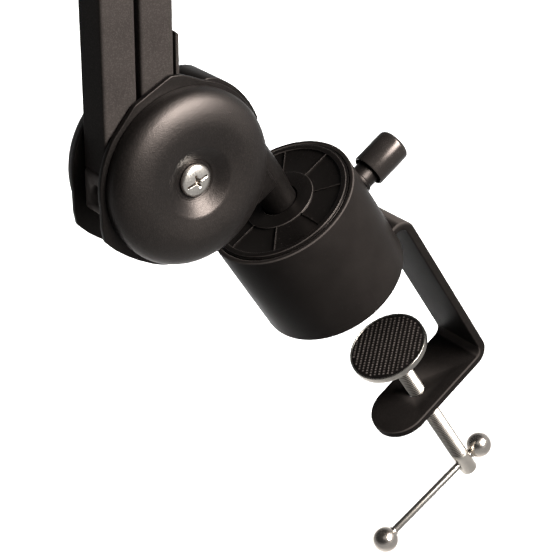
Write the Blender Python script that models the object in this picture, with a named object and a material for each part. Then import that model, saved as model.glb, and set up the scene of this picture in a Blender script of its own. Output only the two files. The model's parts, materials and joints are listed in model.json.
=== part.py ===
"""Desktop microphone stand: a desk clamp, a swivelling base, two spring arms and a microphone fork.

The origin is the centre of the base's underside, where it rests on the desk. +Z is up, the clamp's
back is at +X and the arms fold towards -X. Sizes below are in millimetres.
"""

import math

import bmesh
import bpy
from mathutils import Matrix, Vector

MM = 0.001

# Clearances
GAP = 0.3            # between pieces that touch
RUN_GAP = 0.3        # round a shaft in its bush
SLOT_GAP = 0.2       # round the bracket in the housing's slot

# Base housing
HOUSING_R = 34.0
HOUSING_H = 54.2
HOUSING_WALL = 4.5
HOUSING_LIFT = 0.4
HOUSING_FLOOR_T = 3.0
HOUSING_REBATE = 1.6     # step inside the foot that the cover plate sits in
HOUSING_ROUND = 1.1      # rounding at the foot
HOUSING_BEVEL = 0.5      # bevel at the top edge
BOSS_WALL = 3.2
PAD_T = 1.7
COVER_PLATE_T = 2.3

# Lid
LID_T = 4.0
LID_PROUD = 0.8
LID_SEAT_W = 2.2
LID_BORE_GAP = 0.9
LID_RIM_W = 3.05         # from the lid's edge to its outer ring line
LID_RING_W = 13.15       # between its two ring lines
LID_EDGE = 1.2
LID_RECESS = 0.9
LID_RIB_W = 0.7
LID_RIBS = 8
LID_RIB_TURN = -1.8

# Stem and its bushes
STEM_R = 7.5
STEM_END_Z = 16.0
BUSH_WALL = 2.7
BUSH_FLANGE_R = 13.0
BUSH_FLANGE_T = 2.0
BOSS_DROP = 8.2          # top of the central boss below the housing's top
RING_T = 1.6
RING_GROOVE_DEPTH = 0.7
STEM_BOLT_R = 3.0
STEM_BOLT_L = 12.0
STEM_BOLT_HEAD_R = 5.0
STEM_BOLT_HEAD_T = 3.4
STEM_BOLT_FLANGE_T = 1.5

# Thumb screw
THUMB_DROP = 24.7        # axis below the housing's top
THUMB_R = 3.0
THUMB_COLLAR_R = 5.6
THUMB_RING_R = 6.2
THUMB_RING_T = 1.6
THUMB_COLLAR_L = 10.5
KNOB_R = 7.8
KNOB_L = 18.4
KNOB_ROUND = 2.2
KNOB_START = 7.0
KNOB_RECESS = 3.0         # hollow round the collar, at the knob's inner end
KNOB_RIM = 0.9            # wall round that hollow
BRAKE_R = 2.6
BRAKE_L = 2.6
BRAKE_GAP = 0.4

# C bracket, a bent flat bar
BAR_STOCK_T = 4.0
BAR_STOCK_W = 30.0
BEND_R = 4.3
FLANGE_TOP_Z = 8.9
BRACKET_STAND_OFF = 5.9  # outer face beyond the housing's wall
JAW_TOP_Z = -89.8
JAW_END_X = -23.2
FLANGE_L = 25.0          # from the housing's wall inwards
FLANGE_SCREW_IN = 12.0   # from the housing's wall inwards
PILLAR_WALL = 2.2
FLANGE_SCREW_Y = 8.0
FLANGE_SCREW_R = 2.5
FLANGE_SCREW_L = 12.0
FLANGE_SCREW_HEAD_R = 4.6
FLANGE_SCREW_HEAD_T = 1.4

# Clamp screw and pad
ROD_X = 3.5
ROD_R = 4.2
ROD_END_Z = -159.5
MOUTH = 54.7
CLAMP_PAD_R = 19.0
CLAMP_CUP_T = 3.4
CLAMP_RUBBER_T = 2.6
CLAMP_RIM_W = 0.9
CLAMP_RIM_DROP = 0.4
PIVOT_BALL_R = 3.6
PIVOT_NECK_R = 2.6
CUP_HUB_R = 6.6
CUP_HUB_L = 5.6
CLIP_T = 1.2
TBAR_Z = -152.1
TBAR_R = 1.85
TBAR_TURN = 176.65
BALL_R = 6.33
TBAR_LONG = 56.0

# Yoke
YOKE_X = -30.4
YOKE_RISE = 55.3         # above the housing's top
PLATE_OUT_Y = 11.6
PLATE_T = 2.3
PLATE_R = 38.3
PLATE_CORNER_R = 42.2
WEB_R = 40.0
WEB_T = 3.0
WEB_START = -12.0
WEB_END = 36.0
NECK_R = 8.3
NECK_RISE = 1.8          # where the stem starts to widen, above the housing's top
NECK_FLARE = 12.0
GUSSET_RISE = 15.5       # lower edge of the gusset, above the housing's top
GUSSET_LEFT = 17.0       # from the yoke's middle
GUSSET_START = -62.0
NECK_TOP_DROP = 7.5      # top of the neck below the yoke's middle
WEB_BITE = 0.6           # how far the webs reach into the plates
TIE_R = 4.2
COVER_SCREW_M_R = 3.0

# Domed covers
DOME_R = 36.5
DOME_SIDE = 3.0
DOME_H = 8.6
DOME_CREST_R = 24.0
DOME_DIMPLE_R = 13.8
DOME_DIMPLE_DEPTH = 5.4
DOME_DIP = 1.4            # edge of the dimple below the crest
DOME_SEAT_W = 1.0         # flat round the screw's head
DOME_WALL = 1.3
SCREW_HEAD_R = 6.7
SCREW_HEAD_T = 2.8
SCREW_IN = 8.0            # into the tie, from the side plate's face
SLOT_W = 1.2
SLOT_LONG = 10.4
SLOT_SHORT = 6.4
SLOT_DEPTH = 1.6
SLOT_TURN = -12.0

# Arm bars
BAR_W = 15.0
BAR_D = 16.55
BAR_WALL = 1.2
ARM_L = 380.0
LOWER_LEAN = 33.3
UPPER_LEAN = -78.0
TUBE_START = 9.5
PLUG_END = 8.5
PLUG_L = 26.0
PIVOT_R = 3.0
PIVOT_HEAD_R = 4.0
PIVOT_HEAD_T = 2.2
PIVOT_WASHER_R = 6.4
PLUG_HOLE_R = 4.2
LINK_DX = 24.17
LINK_DZ = 5.65
REAR_PIVOT_PERP = -26.3
REAR_PIVOT_ALONG = -4.5

# Springs in the front bars
SPRING_R = 4.6
SPRING_WIRE_R = 0.8
SPRING_L = 150.0
SPRING_CURLS = 12
SPRING_START = 37.0
HOOK_PIN_R = 1.6
SPRING_ANCHOR_L = 8.0

# Strip on the lower front bar
STRIP_T = 1.5
STRIP_STAND_OFF = 0.8
STRIP_BOTTOM = 12.0
STRIP_TOP = 44.5
STRIP_W = 12.0
RIVET_R = 2.0

# Elbow
ELBOW_DX = 20.0
ELBOW_DZ = 23.0
UPPER_PIVOT_DX = 4.0
UPPER_PIVOT_DZ = 31.0
UPPER_LINK_TURN = 65.0
ELBOW_R = 38.0
ELBOW_WEB_START = -28.0
ELBOW_WEB_END = 66.0

# Head and microphone fork
HEAD_R = 11.0
HEAD_BOSS_X = -14.0
TONGUE_X = -46.0
TONGUE_R = 8.0
TONGUE_HALF_T = 4.0
TONGUE_NECK = 5.5
HEAD_BOSS_W = 6.0
EAR_T = 4.5
FORK_DROP = 20.0
FORK_BRIDGE_T = 5.0
STUD_R = 7.9
STUD_L = 12.0
TILT_BOLT_R = 3.0
TILT_KNOB_R = 11.0
TILT_COLLAR_R = 6.0
TILT_KNOB_L = 12.0

# Values that follow from those above
HOUSING_IN_R = HOUSING_R - HOUSING_WALL
REBATE_R = HOUSING_IN_R + HOUSING_REBATE
LID_R = HOUSING_IN_R + LID_SEAT_W
LID_TOP_Z = HOUSING_H + LID_PROUD
LID_BOTTOM_Z = LID_TOP_Z - LID_T
LID_BORE_R = STEM_R + LID_BORE_GAP
LID_STEP_R = LID_R - LID_RIM_W
LID_INNER_R = LID_STEP_R - LID_RING_W
FLANGE_BOTTOM_Z = FLANGE_TOP_Z - BAR_STOCK_T
FLOOR_Z = FLANGE_TOP_Z + GAP
FLOOR_TOP_Z = FLOOR_Z + HOUSING_FLOOR_T
BUSH_IN_R = STEM_R + RUN_GAP
BUSH_OUT_R = BUSH_IN_R + BUSH_WALL
BOSS_IN_R = BUSH_OUT_R + GAP
BOSS_R = BOSS_IN_R + BOSS_WALL
COVER_PLATE_Z = FLANGE_BOTTOM_Z - GAP - COVER_PLATE_T
BOSS_TOP_Z = HOUSING_H - BOSS_DROP
BUSH_TOP_Z = BOSS_TOP_Z + GAP + BUSH_FLANGE_T
THUMB_Z = HOUSING_H - THUMB_DROP
BRAKE_X = STEM_R + BRAKE_GAP
BRACKET_BACK_X = HOUSING_R + BRACKET_STAND_OFF
FLANGE_END_X = HOUSING_R - FLANGE_L
FLANGE_SCREW_X = HOUSING_R - FLANGE_SCREW_IN
YOKE_Z = HOUSING_H + YOKE_RISE
NECK_BASE_Z = HOUSING_H + NECK_RISE
GUSSET_Z = HOUSING_H + GUSSET_RISE
PLATE_IN_Y = PLATE_OUT_Y - PLATE_T
BAR_HALF_D = BAR_D / 2
PAD_TOP_Z = -MOUTH
CUP_Z = PAD_TOP_Z - CLAMP_CUP_T
KNOB_X = HOUSING_R + KNOB_START
TBAR_SHORT = ROD_R + BALL_R + GAP
LINK = Vector((LINK_DX, 0, LINK_DZ))
UPPER_LINK = LINK.length * Vector(
    (math.cos(math.radians(UPPER_LINK_TURN)), 0, math.sin(math.radians(UPPER_LINK_TURN)))
)


def direction(lean):
    """Unit vector along an arm that leans from +Z towards +X."""
    return Vector((math.sin(math.radians(lean)), 0, math.cos(math.radians(lean))))


def across(lean):
    """Unit vector square to an arm, towards its +X side."""
    return Vector((math.cos(math.radians(lean)), 0, -math.sin(math.radians(lean))))


YOKE = Vector((YOKE_X, 0, YOKE_Z))
LOWER_REAR = YOKE + REAR_PIVOT_PERP * across(LOWER_LEAN) + REAR_PIVOT_ALONG * direction(LOWER_LEAN)
LOWER_FRONT = LOWER_REAR + LINK
ELBOW_REAR = LOWER_REAR + ARM_L * direction(LOWER_LEAN)
ELBOW_FRONT = ELBOW_REAR + LINK
ELBOW = ELBOW_REAR + Vector((ELBOW_DX, 0, ELBOW_DZ))
UPPER_REAR = ELBOW_REAR + Vector((UPPER_PIVOT_DX, 0, UPPER_PIVOT_DZ))
UPPER_FRONT = UPPER_REAR + UPPER_LINK
HEAD_REAR = UPPER_REAR + ARM_L * direction(UPPER_LEAN)
TILT = HEAD_REAR + UPPER_LINK / 2 + Vector((TONGUE_X, 0, 0))

# Colour, roughness and metallic value of each finish
FINISHES = {
    "black_paint": ((0.020, 0.019, 0.019), 0.42, 0.2),
    "black_bar": ((0.024, 0.023, 0.022), 0.50, 0.2),
    "black_plastic": ((0.015, 0.015, 0.015), 0.45, 0.0),
    "grey_plastic": ((0.10, 0.10, 0.09), 0.55, 0.0),
    "rubber": ((0.03, 0.03, 0.03), 0.80, 0.0),
    "chrome": ((0.75, 0.72, 0.68), 0.18, 1.0),
    "nickel": ((0.62, 0.60, 0.57), 0.28, 1.0),
    "steel": ((0.45, 0.44, 0.43), 0.35, 1.0),
    "brass": ((0.60, 0.45, 0.20), 0.35, 1.0),
    "bronze": ((0.42, 0.30, 0.16), 0.45, 0.9),
}


def finish(name):
    """Return the finish as a material, made once."""
    if name in bpy.data.materials:
        return bpy.data.materials[name]
    colour, roughness, metallic = FINISHES[name]
    material = bpy.data.materials.new(name)
    material.use_nodes = True
    shader = material.node_tree.nodes["Principled BSDF"]
    shader.inputs["Base Color"].default_value = (*colour, 1.0)
    shader.inputs["Roughness"].default_value = roughness
    shader.inputs["Metallic"].default_value = metallic
    return material


def add_object(name, bm, material, place=(0, 0, 0), turn=(0, 0, 0), parent=None):
    """Turn a bmesh in millimetres into a placed object. A name of None makes a cutter."""
    bmesh.ops.remove_doubles(bm, verts=bm.verts, dist=1e-4)
    bmesh.ops.recalc_face_normals(bm, faces=bm.faces)
    bm.transform(Matrix.Scale(MM, 4))
    mesh = bpy.data.meshes.new(name or "cutter")
    bm.to_mesh(mesh)
    bm.free()
    mesh.shade_smooth()
    mesh.set_sharp_from_angle(angle=math.radians(35))
    obj = bpy.data.objects.new(name or "cutter", mesh)
    bpy.context.scene.collection.objects.link(obj)
    obj.location = Vector(place) * MM
    obj.rotation_euler = turn
    obj.parent = parent
    if name:
        mesh.materials.append(finish(material))
    else:
        obj.hide_render = True
        obj.display_type = "WIRE"
    return obj


def frame_at(name, point, lean=0.0, parent=None):
    """An empty on a joint's axis, leaning with its arm."""
    empty = bpy.data.objects.new(name, None)
    bpy.context.scene.collection.objects.link(empty)
    empty.location = Vector(point) * MM
    empty.rotation_euler = (0, math.radians(lean), 0)
    empty.parent = parent
    return empty


def combine(obj, tool, operation):
    """Cut a tool out of an object, or join it on."""
    modifier = obj.modifiers.new(operation.lower(), "BOOLEAN")
    modifier.operation = operation
    modifier.solver = "EXACT"
    modifier.object = tool
    return obj


def cut(obj, *tools):
    for tool in tools:
        combine(obj, tool, "DIFFERENCE")
    return obj


def join(obj, *tools):
    for tool in tools:
        combine(obj, tool, "UNION")
    return obj


def arc(x, z, radius, start, end, steps):
    """Points on an arc, its angles in degrees from +X towards +Z."""
    angles = [math.radians(start + (end - start) * i / steps) for i in range(steps + 1)]
    return [(x + radius * math.cos(a), z + radius * math.sin(a)) for a in angles]


def turned(profile, sides=40, closed=True):
    """Spin (radius, height) points round +Z. An open profile starts and ends on the axis."""
    bm = bmesh.new()
    verts = [bm.verts.new((r, 0, z)) for r, z in profile]
    pairs = list(zip(verts, verts[1:]))
    if closed:
        pairs.append((verts[-1], verts[0]))
    edges = [bm.edges.new(pair) for pair in pairs]
    bmesh.ops.spin(
        bm, geom=verts + edges, cent=(0, 0, 0), axis=(0, 0, 1), angle=math.tau, steps=sides, use_merge=True
    )
    return bm


def rod_mesh(radius, z0, z1, sides=24, chamfer=0.0):
    """A round bar along +Z, its far end chamfered."""
    points = [(0, z0), (radius, z0), (radius, z1 - chamfer)]
    if chamfer:
        points.append((radius - chamfer, z1))
    points.append((0, z1))
    return turned(points, sides, closed=False)


def ring_mesh(inner, outer, z0, z1, sides=32):
    return turned([(inner, z0), (outer, z0), (outer, z1), (inner, z1)], sides)


def prism(points, y0, y1):
    """Extrude an outline in the XZ plane from y0 to y1."""
    bm = bmesh.new()
    face = bm.faces.new([bm.verts.new((x, y0, z)) for x, z in points])
    moved = bmesh.ops.extrude_face_region(bm, geom=[face])["geom"]
    verts = [v for v in moved if isinstance(v, bmesh.types.BMVert)]
    bmesh.ops.translate(bm, verts=verts, vec=(0, y1 - y0, 0))
    return bm


def box_mesh(x, y, z):
    """A box between pairs of limits."""
    return prism([(x[0], z[0]), (x[1], z[0]), (x[1], z[1]), (x[0], z[1])], y[0], y[1])


def rounded_box(x, z, radius, y0, y1, steps=3):
    """A box whose four edges along Y are rounded."""
    corners = ((x[1], z[1], 0), (x[0], z[1], 90), (x[0], z[0], 180), (x[1], z[0], 270))
    points = []
    for cx, cz, start in corners:
        px = cx - radius if cx == x[1] else cx + radius
        pz = cz - radius if cz == z[1] else cz + radius
        points += arc(px, pz, radius, start, start + 90, steps)
    return prism(points, y0, y1)


ALONG_X = (0, math.radians(90), 0)
TOWARDS_FRONT = (math.radians(90), 0, 0)
TOWARDS_BACK = (math.radians(-90), 0, 0)


def clear_scene():
    for obj in list(bpy.data.objects):
        bpy.data.objects.remove(obj)


def base_housing():
    lid_seat_r = LID_R + GAP
    profile = [
        (REBATE_R, HOUSING_LIFT),
        (HOUSING_R - HOUSING_ROUND, HOUSING_LIFT),
        (HOUSING_R - HOUSING_ROUND / 3, HOUSING_LIFT + HOUSING_ROUND / 3),
        (HOUSING_R, HOUSING_LIFT + HOUSING_ROUND),
        (HOUSING_R, HOUSING_H - HOUSING_BEVEL),
        (HOUSING_R - HOUSING_BEVEL, HOUSING_H),
        (lid_seat_r, HOUSING_H),
        (lid_seat_r, LID_BOTTOM_Z - GAP),
        (HOUSING_IN_R, LID_BOTTOM_Z - GAP),
        (HOUSING_IN_R, FLOOR_TOP_Z),
        (BOSS_R, FLOOR_TOP_Z),
        (BOSS_R, BOSS_TOP_Z),
        (BOSS_IN_R, BOSS_TOP_Z),
        (BOSS_IN_R, FLOOR_Z),
        (REBATE_R, FLOOR_Z),
    ]
    housing = add_object("base_housing", turned(profile, 44), "black_paint")
    screw_top = COVER_PLATE_Z + FLANGE_SCREW_L
    for place in flange_screw_places():
        pillar = rod_mesh(FLANGE_SCREW_R + GAP + PILLAR_WALL, FLOOR_Z + 1.0, screw_top + PILLAR_WALL, 12)
        hole = rod_mesh(FLANGE_SCREW_R + GAP, FLOOR_Z - 1.0, screw_top + GAP, 16)
        join(housing, add_object(None, pillar, None, place))
        cut(housing, add_object(None, hole, None, place))
    bend_x = BRACKET_BACK_X - BAR_STOCK_T - BEND_R
    bend_z = FLANGE_BOTTOM_Z - BEND_R
    bend_at_wall = bend_z + math.sqrt(max(BEND_R**2 - max(HOUSING_R - bend_x, 0.0) ** 2, 0.0))
    slot = box_mesh(
        (FLANGE_SCREW_X, HOUSING_R + 2.0),
        (-BAR_STOCK_W / 2 - SLOT_GAP, BAR_STOCK_W / 2 + SLOT_GAP),
        (bend_at_wall - SLOT_GAP, FLANGE_TOP_Z + SLOT_GAP),
    )
    thumb_hole = rod_mesh(THUMB_R + GAP, 0, HOUSING_R + 2.0, 16)
    cut(
        housing,
        add_object(None, slot, None),
        add_object(None, thumb_hole, None, (0, 0, THUMB_Z), ALONG_X),
    )


def polar(radius, angle):
    return radius * math.cos(math.radians(angle)), radius * math.sin(math.radians(angle))


def top_lid():
    recess_z = LID_TOP_Z - LID_RECESS
    profile = [
        (LID_BORE_R, LID_BOTTOM_Z),
        (LID_R, LID_BOTTOM_Z),
        (LID_R, HOUSING_H),
        (LID_R - HOUSING_BEVEL, LID_TOP_Z - LID_PROUD / 2),
        (LID_R - LID_EDGE, LID_TOP_Z - LID_PROUD / 2),
        (LID_R - LID_EDGE, LID_TOP_Z),
        (LID_STEP_R, LID_TOP_Z),
        (LID_STEP_R, recess_z),
        (LID_INNER_R, recess_z),
        (LID_INNER_R, LID_TOP_Z),
        (LID_BORE_R, LID_TOP_Z),
    ]
    lid = add_object("top_lid", turned(profile, 44), "black_paint")
    for i in range(LID_RIBS):
        angle = math.radians(LID_RIB_TURN + 360.0 * i / LID_RIBS)
        rib = box_mesh(
            (LID_INNER_R - LID_RECESS, LID_STEP_R + LID_RECESS),
            (-LID_RIB_W / 2, LID_RIB_W / 2),
            (recess_z - LID_RECESS / 2, LID_TOP_Z - LID_RECESS / 4),
        )
        join(lid, add_object(None, rib, None, (0, 0, 0), (0, 0, angle)))


def flange_screw_places():
    return [(FLANGE_SCREW_X, y, 0) for y in (-FLANGE_SCREW_Y, FLANGE_SCREW_Y)]


def bottom_parts():
    """The steel cover, the rubber pad under it and the screws that hold cover, bracket and housing."""
    radius = REBATE_R - GAP
    head_z = COVER_PLATE_Z + FLANGE_SCREW_HEAD_T
    disc = rod_mesh(radius, COVER_PLATE_Z, COVER_PLATE_Z + COVER_PLATE_T, 36)
    plate = add_object("bottom_cover", disc, "steel")
    for i, place in enumerate(flange_screw_places()):
        sink = [
            (0, COVER_PLATE_Z - 1.0),
            (FLANGE_SCREW_HEAD_R + GAP, COVER_PLATE_Z - 1.0),
            (FLANGE_SCREW_HEAD_R + GAP, head_z),
            (FLANGE_SCREW_R + GAP, head_z),
            (FLANGE_SCREW_R + GAP, FLANGE_BOTTOM_Z),
            (0, FLANGE_BOTTOM_Z),
        ]
        cut(plate, add_object(None, turned(sink, 16, closed=False), None, place))
        screw = [
            (0, COVER_PLATE_Z),
            (FLANGE_SCREW_HEAD_R, COVER_PLATE_Z),
            (FLANGE_SCREW_HEAD_R, head_z - GAP),
            (FLANGE_SCREW_R, head_z - GAP),
            (FLANGE_SCREW_R, COVER_PLATE_Z + FLANGE_SCREW_L),
            (0, COVER_PLATE_Z + FLANGE_SCREW_L),
        ]
        add_object("flange_screw_%d" % (i + 1), turned(screw, 16, closed=False), "steel", place)
    add_object("desk_pad", rod_mesh(radius, 0, min(PAD_T, COVER_PLATE_Z - GAP), 36), "rubber")


def stem_bush():
    top = BOSS_TOP_Z + GAP
    profile = [
        (BUSH_IN_R, STEM_END_Z),
        (BUSH_OUT_R, STEM_END_Z),
        (BUSH_OUT_R, top),
        (BUSH_FLANGE_R, top),
        (BUSH_FLANGE_R, BUSH_TOP_Z),
        (BUSH_IN_R, BUSH_TOP_Z),
    ]
    bush = add_object("stem_bush", turned(profile, 28), "bronze")
    hole = rod_mesh(THUMB_R + GAP, 0, HOUSING_R, 16)
    cut(bush, add_object(None, hole, None, (0, 0, THUMB_Z), ALONG_X))


def c_bracket():
    """The bent bar: a row of four corners at each station along its middle line."""
    mid_r = BEND_R + BAR_STOCK_T / 2
    back_x = BRACKET_BACK_X - BAR_STOCK_T / 2
    top_z = FLANGE_TOP_Z - BAR_STOCK_T / 2
    jaw_z = JAW_TOP_Z - BAR_STOCK_T / 2
    end_r = BAR_STOCK_W / 2
    end_x = JAW_END_X + end_r
    stations = [(FLANGE_END_X, top_z, 90.0, end_r)]
    for x, z, start in ((back_x - mid_r, top_z - mid_r, 90.0), (back_x - mid_r, jaw_z + mid_r, 0.0)):
        for i in range(6):
            angle = start - 18.0 * i
            px, pz = x + mid_r * math.cos(math.radians(angle)), z + mid_r * math.sin(math.radians(angle))
            stations.append((px, pz, angle, end_r))
    for i in range(10):
        angle = math.radians(9.5 * i)
        stations.append((end_x - end_r * math.sin(angle), jaw_z, -90.0, end_r * math.cos(angle)))
    bm = bmesh.new()
    rows = []
    for x, z, angle, half_w in stations:
        nx = math.cos(math.radians(angle)) * BAR_STOCK_T / 2
        nz = math.sin(math.radians(angle)) * BAR_STOCK_T / 2
        corners = ((nx, -half_w, nz), (nx, half_w, nz), (-nx, half_w, -nz), (-nx, -half_w, -nz))
        rows.append([bm.verts.new((x + cx, cy, z + cz)) for cx, cy, cz in corners])
    for near, far in zip(rows, rows[1:]):
        for i in range(4):
            j = (i + 1) % 4
            bm.faces.new((near[i], near[j], far[j], far[i]))
    bm.faces.new(rows[0])
    bm.faces.new(rows[-1])
    bracket = add_object("c_bracket", bm, "black_paint")
    hole = rod_mesh(ROD_R + GAP, JAW_TOP_Z - BAR_STOCK_T - 2.0, JAW_TOP_Z + 2.0, 32)
    cut(bracket, add_object(None, hole, None, (ROD_X, 0, 0)))
    for place in flange_screw_places():
        hole = rod_mesh(FLANGE_SCREW_R + GAP, FLANGE_BOTTOM_Z - 1.0, FLANGE_TOP_Z + 1.0, 16)
        cut(bracket, add_object(None, hole, None, place))


def thumb_screw():
    """Everything here lies along +X, with the distance from the swivel axis as its height."""
    axis = (0, 0, THUMB_Z)
    brake_end = BRAKE_X + BRAKE_L
    slider = frame_at("brake_slide", axis)
    brake = rod_mesh(BRAKE_R, BRAKE_X, brake_end, 20)
    add_object("brake_plug", brake, "brass", (0, 0, 0), ALONG_X, slider)
    start = HOUSING_R + GAP
    shaft = [
        (0, brake_end + GAP),
        (THUMB_R, brake_end + GAP),
        (THUMB_R, start),
        (THUMB_RING_R, start),
        (THUMB_RING_R, start + THUMB_RING_T),
        (THUMB_COLLAR_R, start + THUMB_RING_T + 0.3),
        (THUMB_COLLAR_R, start + THUMB_COLLAR_L),
        (0, start + THUMB_COLLAR_L),
    ]
    add_object("thumb_screw", turned(shaft, 24, closed=False), "black_paint", (0, 0, 0), ALONG_X, slider)
    pocket_end = start + THUMB_COLLAR_L + GAP
    far = KNOB_X + KNOB_L
    pocket_r = THUMB_COLLAR_R + GAP
    recess_x = KNOB_X + KNOB_RECESS
    rim_r = KNOB_R - KNOB_RIM
    outline = [(0, pocket_end), (pocket_r, pocket_end), (pocket_r, recess_x), (rim_r, recess_x)]
    outline += [(rim_r, KNOB_X + KNOB_RIM / 3), (rim_r + KNOB_RIM / 3, KNOB_X)]
    outline += [(KNOB_R - KNOB_RIM / 3, KNOB_X), (KNOB_R, KNOB_X + KNOB_RIM / 3)]
    outline += arc(KNOB_R - KNOB_ROUND, far - KNOB_ROUND, KNOB_ROUND, 0, 90, 3)
    outline.append((0, far))
    add_object("thumb_knob", turned(outline, 28, closed=False), "black_plastic", (0, 0, 0), ALONG_X, slider)


def clamp_screw():
    slider = frame_at("clamp_slide", (ROD_X, 0, 0))
    hub_z = CUP_Z - CUP_HUB_L
    ball_z = CUP_Z - GAP - PIVOT_BALL_R
    rubber_r = CLAMP_PAD_R - CLAMP_RIM_W
    seat_z = PAD_TOP_Z - CLAMP_RUBBER_T
    socket = arc(0, ball_z, PIVOT_BALL_R + GAP, 60, -30, 3)
    cup = [(0, seat_z - GAP), (rubber_r + GAP, seat_z - GAP), (rubber_r + GAP, PAD_TOP_Z - CLAMP_RIM_DROP)]
    cup += [(CLAMP_PAD_R, PAD_TOP_Z - CLAMP_RIM_DROP), (CLAMP_PAD_R, CUP_Z + 0.8)]
    cup.append((CLAMP_PAD_R - 0.8, CUP_Z))
    cup += [(CUP_HUB_R, CUP_Z), (CUP_HUB_R - 0.6, hub_z), (PIVOT_BALL_R * 0.8 + 1.2, hub_z)]
    cup += [point for point in reversed(socket) if point[1] > hub_z + 0.5]
    cup.append((0, ball_z + PIVOT_BALL_R + GAP / 2))
    add_object("pad_cup", turned(cup, 32, closed=False), "nickel", (0, 0, 0), (0, 0, 0), slider)
    rubber = rod_mesh(rubber_r, seat_z, PAD_TOP_Z, 32, 0.4)
    add_object("clamp_pad", rubber, "rubber", (0, 0, 0), (0, 0, 0), slider)
    neck_turn = math.acos(PIVOT_NECK_R / PIVOT_BALL_R)
    clip_z = ball_z - PIVOT_BALL_R * math.sin(neck_turn) - GAP - CLIP_T
    clip = ring_mesh(PIVOT_NECK_R + GAP, PIVOT_NECK_R + 1.6, clip_z, clip_z + CLIP_T, 20)
    add_object("pad_clip", clip, "steel", (0, 0, 0), (0, 0, 0), slider)
    rod = arc(0, ball_z, PIVOT_BALL_R, 90, -math.degrees(neck_turn), 5)
    rod += [(PIVOT_NECK_R, clip_z - GAP), (ROD_R - 0.5, clip_z - GAP), (ROD_R, clip_z - GAP - 0.6)]
    rod += [(ROD_R, ROD_END_Z + 0.6), (ROD_R - 0.6, ROD_END_Z), (0, ROD_END_Z)]
    screw = add_object("clamp_rod", turned(rod, 24, closed=False), "nickel", (0, 0, 0), (0, 0, 0), slider)
    turn = math.radians(TBAR_TURN)
    cross = (0, math.radians(90), turn)
    hole = rod_mesh(TBAR_R + GAP, -ROD_R - 2.0, ROD_R + 2.0, 16)
    cut(screw, add_object(None, hole, None, (0, 0, TBAR_Z), cross, slider))
    near = -TBAR_SHORT
    length = TBAR_LONG
    handle = rod_mesh(TBAR_R, near + BALL_R - 2.0, length - BALL_R + 2.0, 16)
    add_object("tommy_bar", handle, "nickel", (0, 0, TBAR_Z), cross, slider)
    for i, (middle, side) in enumerate(((near, 1), (length, -1))):
        ball = arc(0, 0, BALL_R, -90, 90, 8)
        ball = turned([(max(x, 0.0), z) for x, z in ball], 16, closed=False)
        socket_z = sorted((side * (BALL_R - 2.0 - GAP), side * (BALL_R + 2.0)))
        place = Vector((math.cos(turn), math.sin(turn), 0)) * middle + Vector((0, 0, TBAR_Z))
        pocket = add_object(None, rod_mesh(TBAR_R + GAP, *socket_z, 16), None, place, cross, slider)
        cut(add_object("bar_ball_%d" % (i + 1), ball, "chrome", place, cross, slider), pocket)


def plate_outline():
    """The yoke's side plate round its middle: a disc with two blunt corners."""
    points = arc(0, 0, PLATE_R, -150, 40, 22)
    points += [polar(PLATE_CORNER_R - 0.9, 57), polar(PLATE_CORNER_R, 64)]
    points += [polar(PLATE_CORNER_R - 1.6, 72), polar(PLATE_CORNER_R - 2.2, 90)]
    points += arc(0, 0, PLATE_R + 0.4, 112, 155, 8)
    points += [polar(PLATE_CORNER_R - 1.5, 167), polar(PLATE_CORNER_R, 175)]
    points += [polar(PLATE_CORNER_R - 1.5, -176), polar(PLATE_R + 1.2, -168), polar(PLATE_R + 0.4, -159)]
    return points


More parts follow.
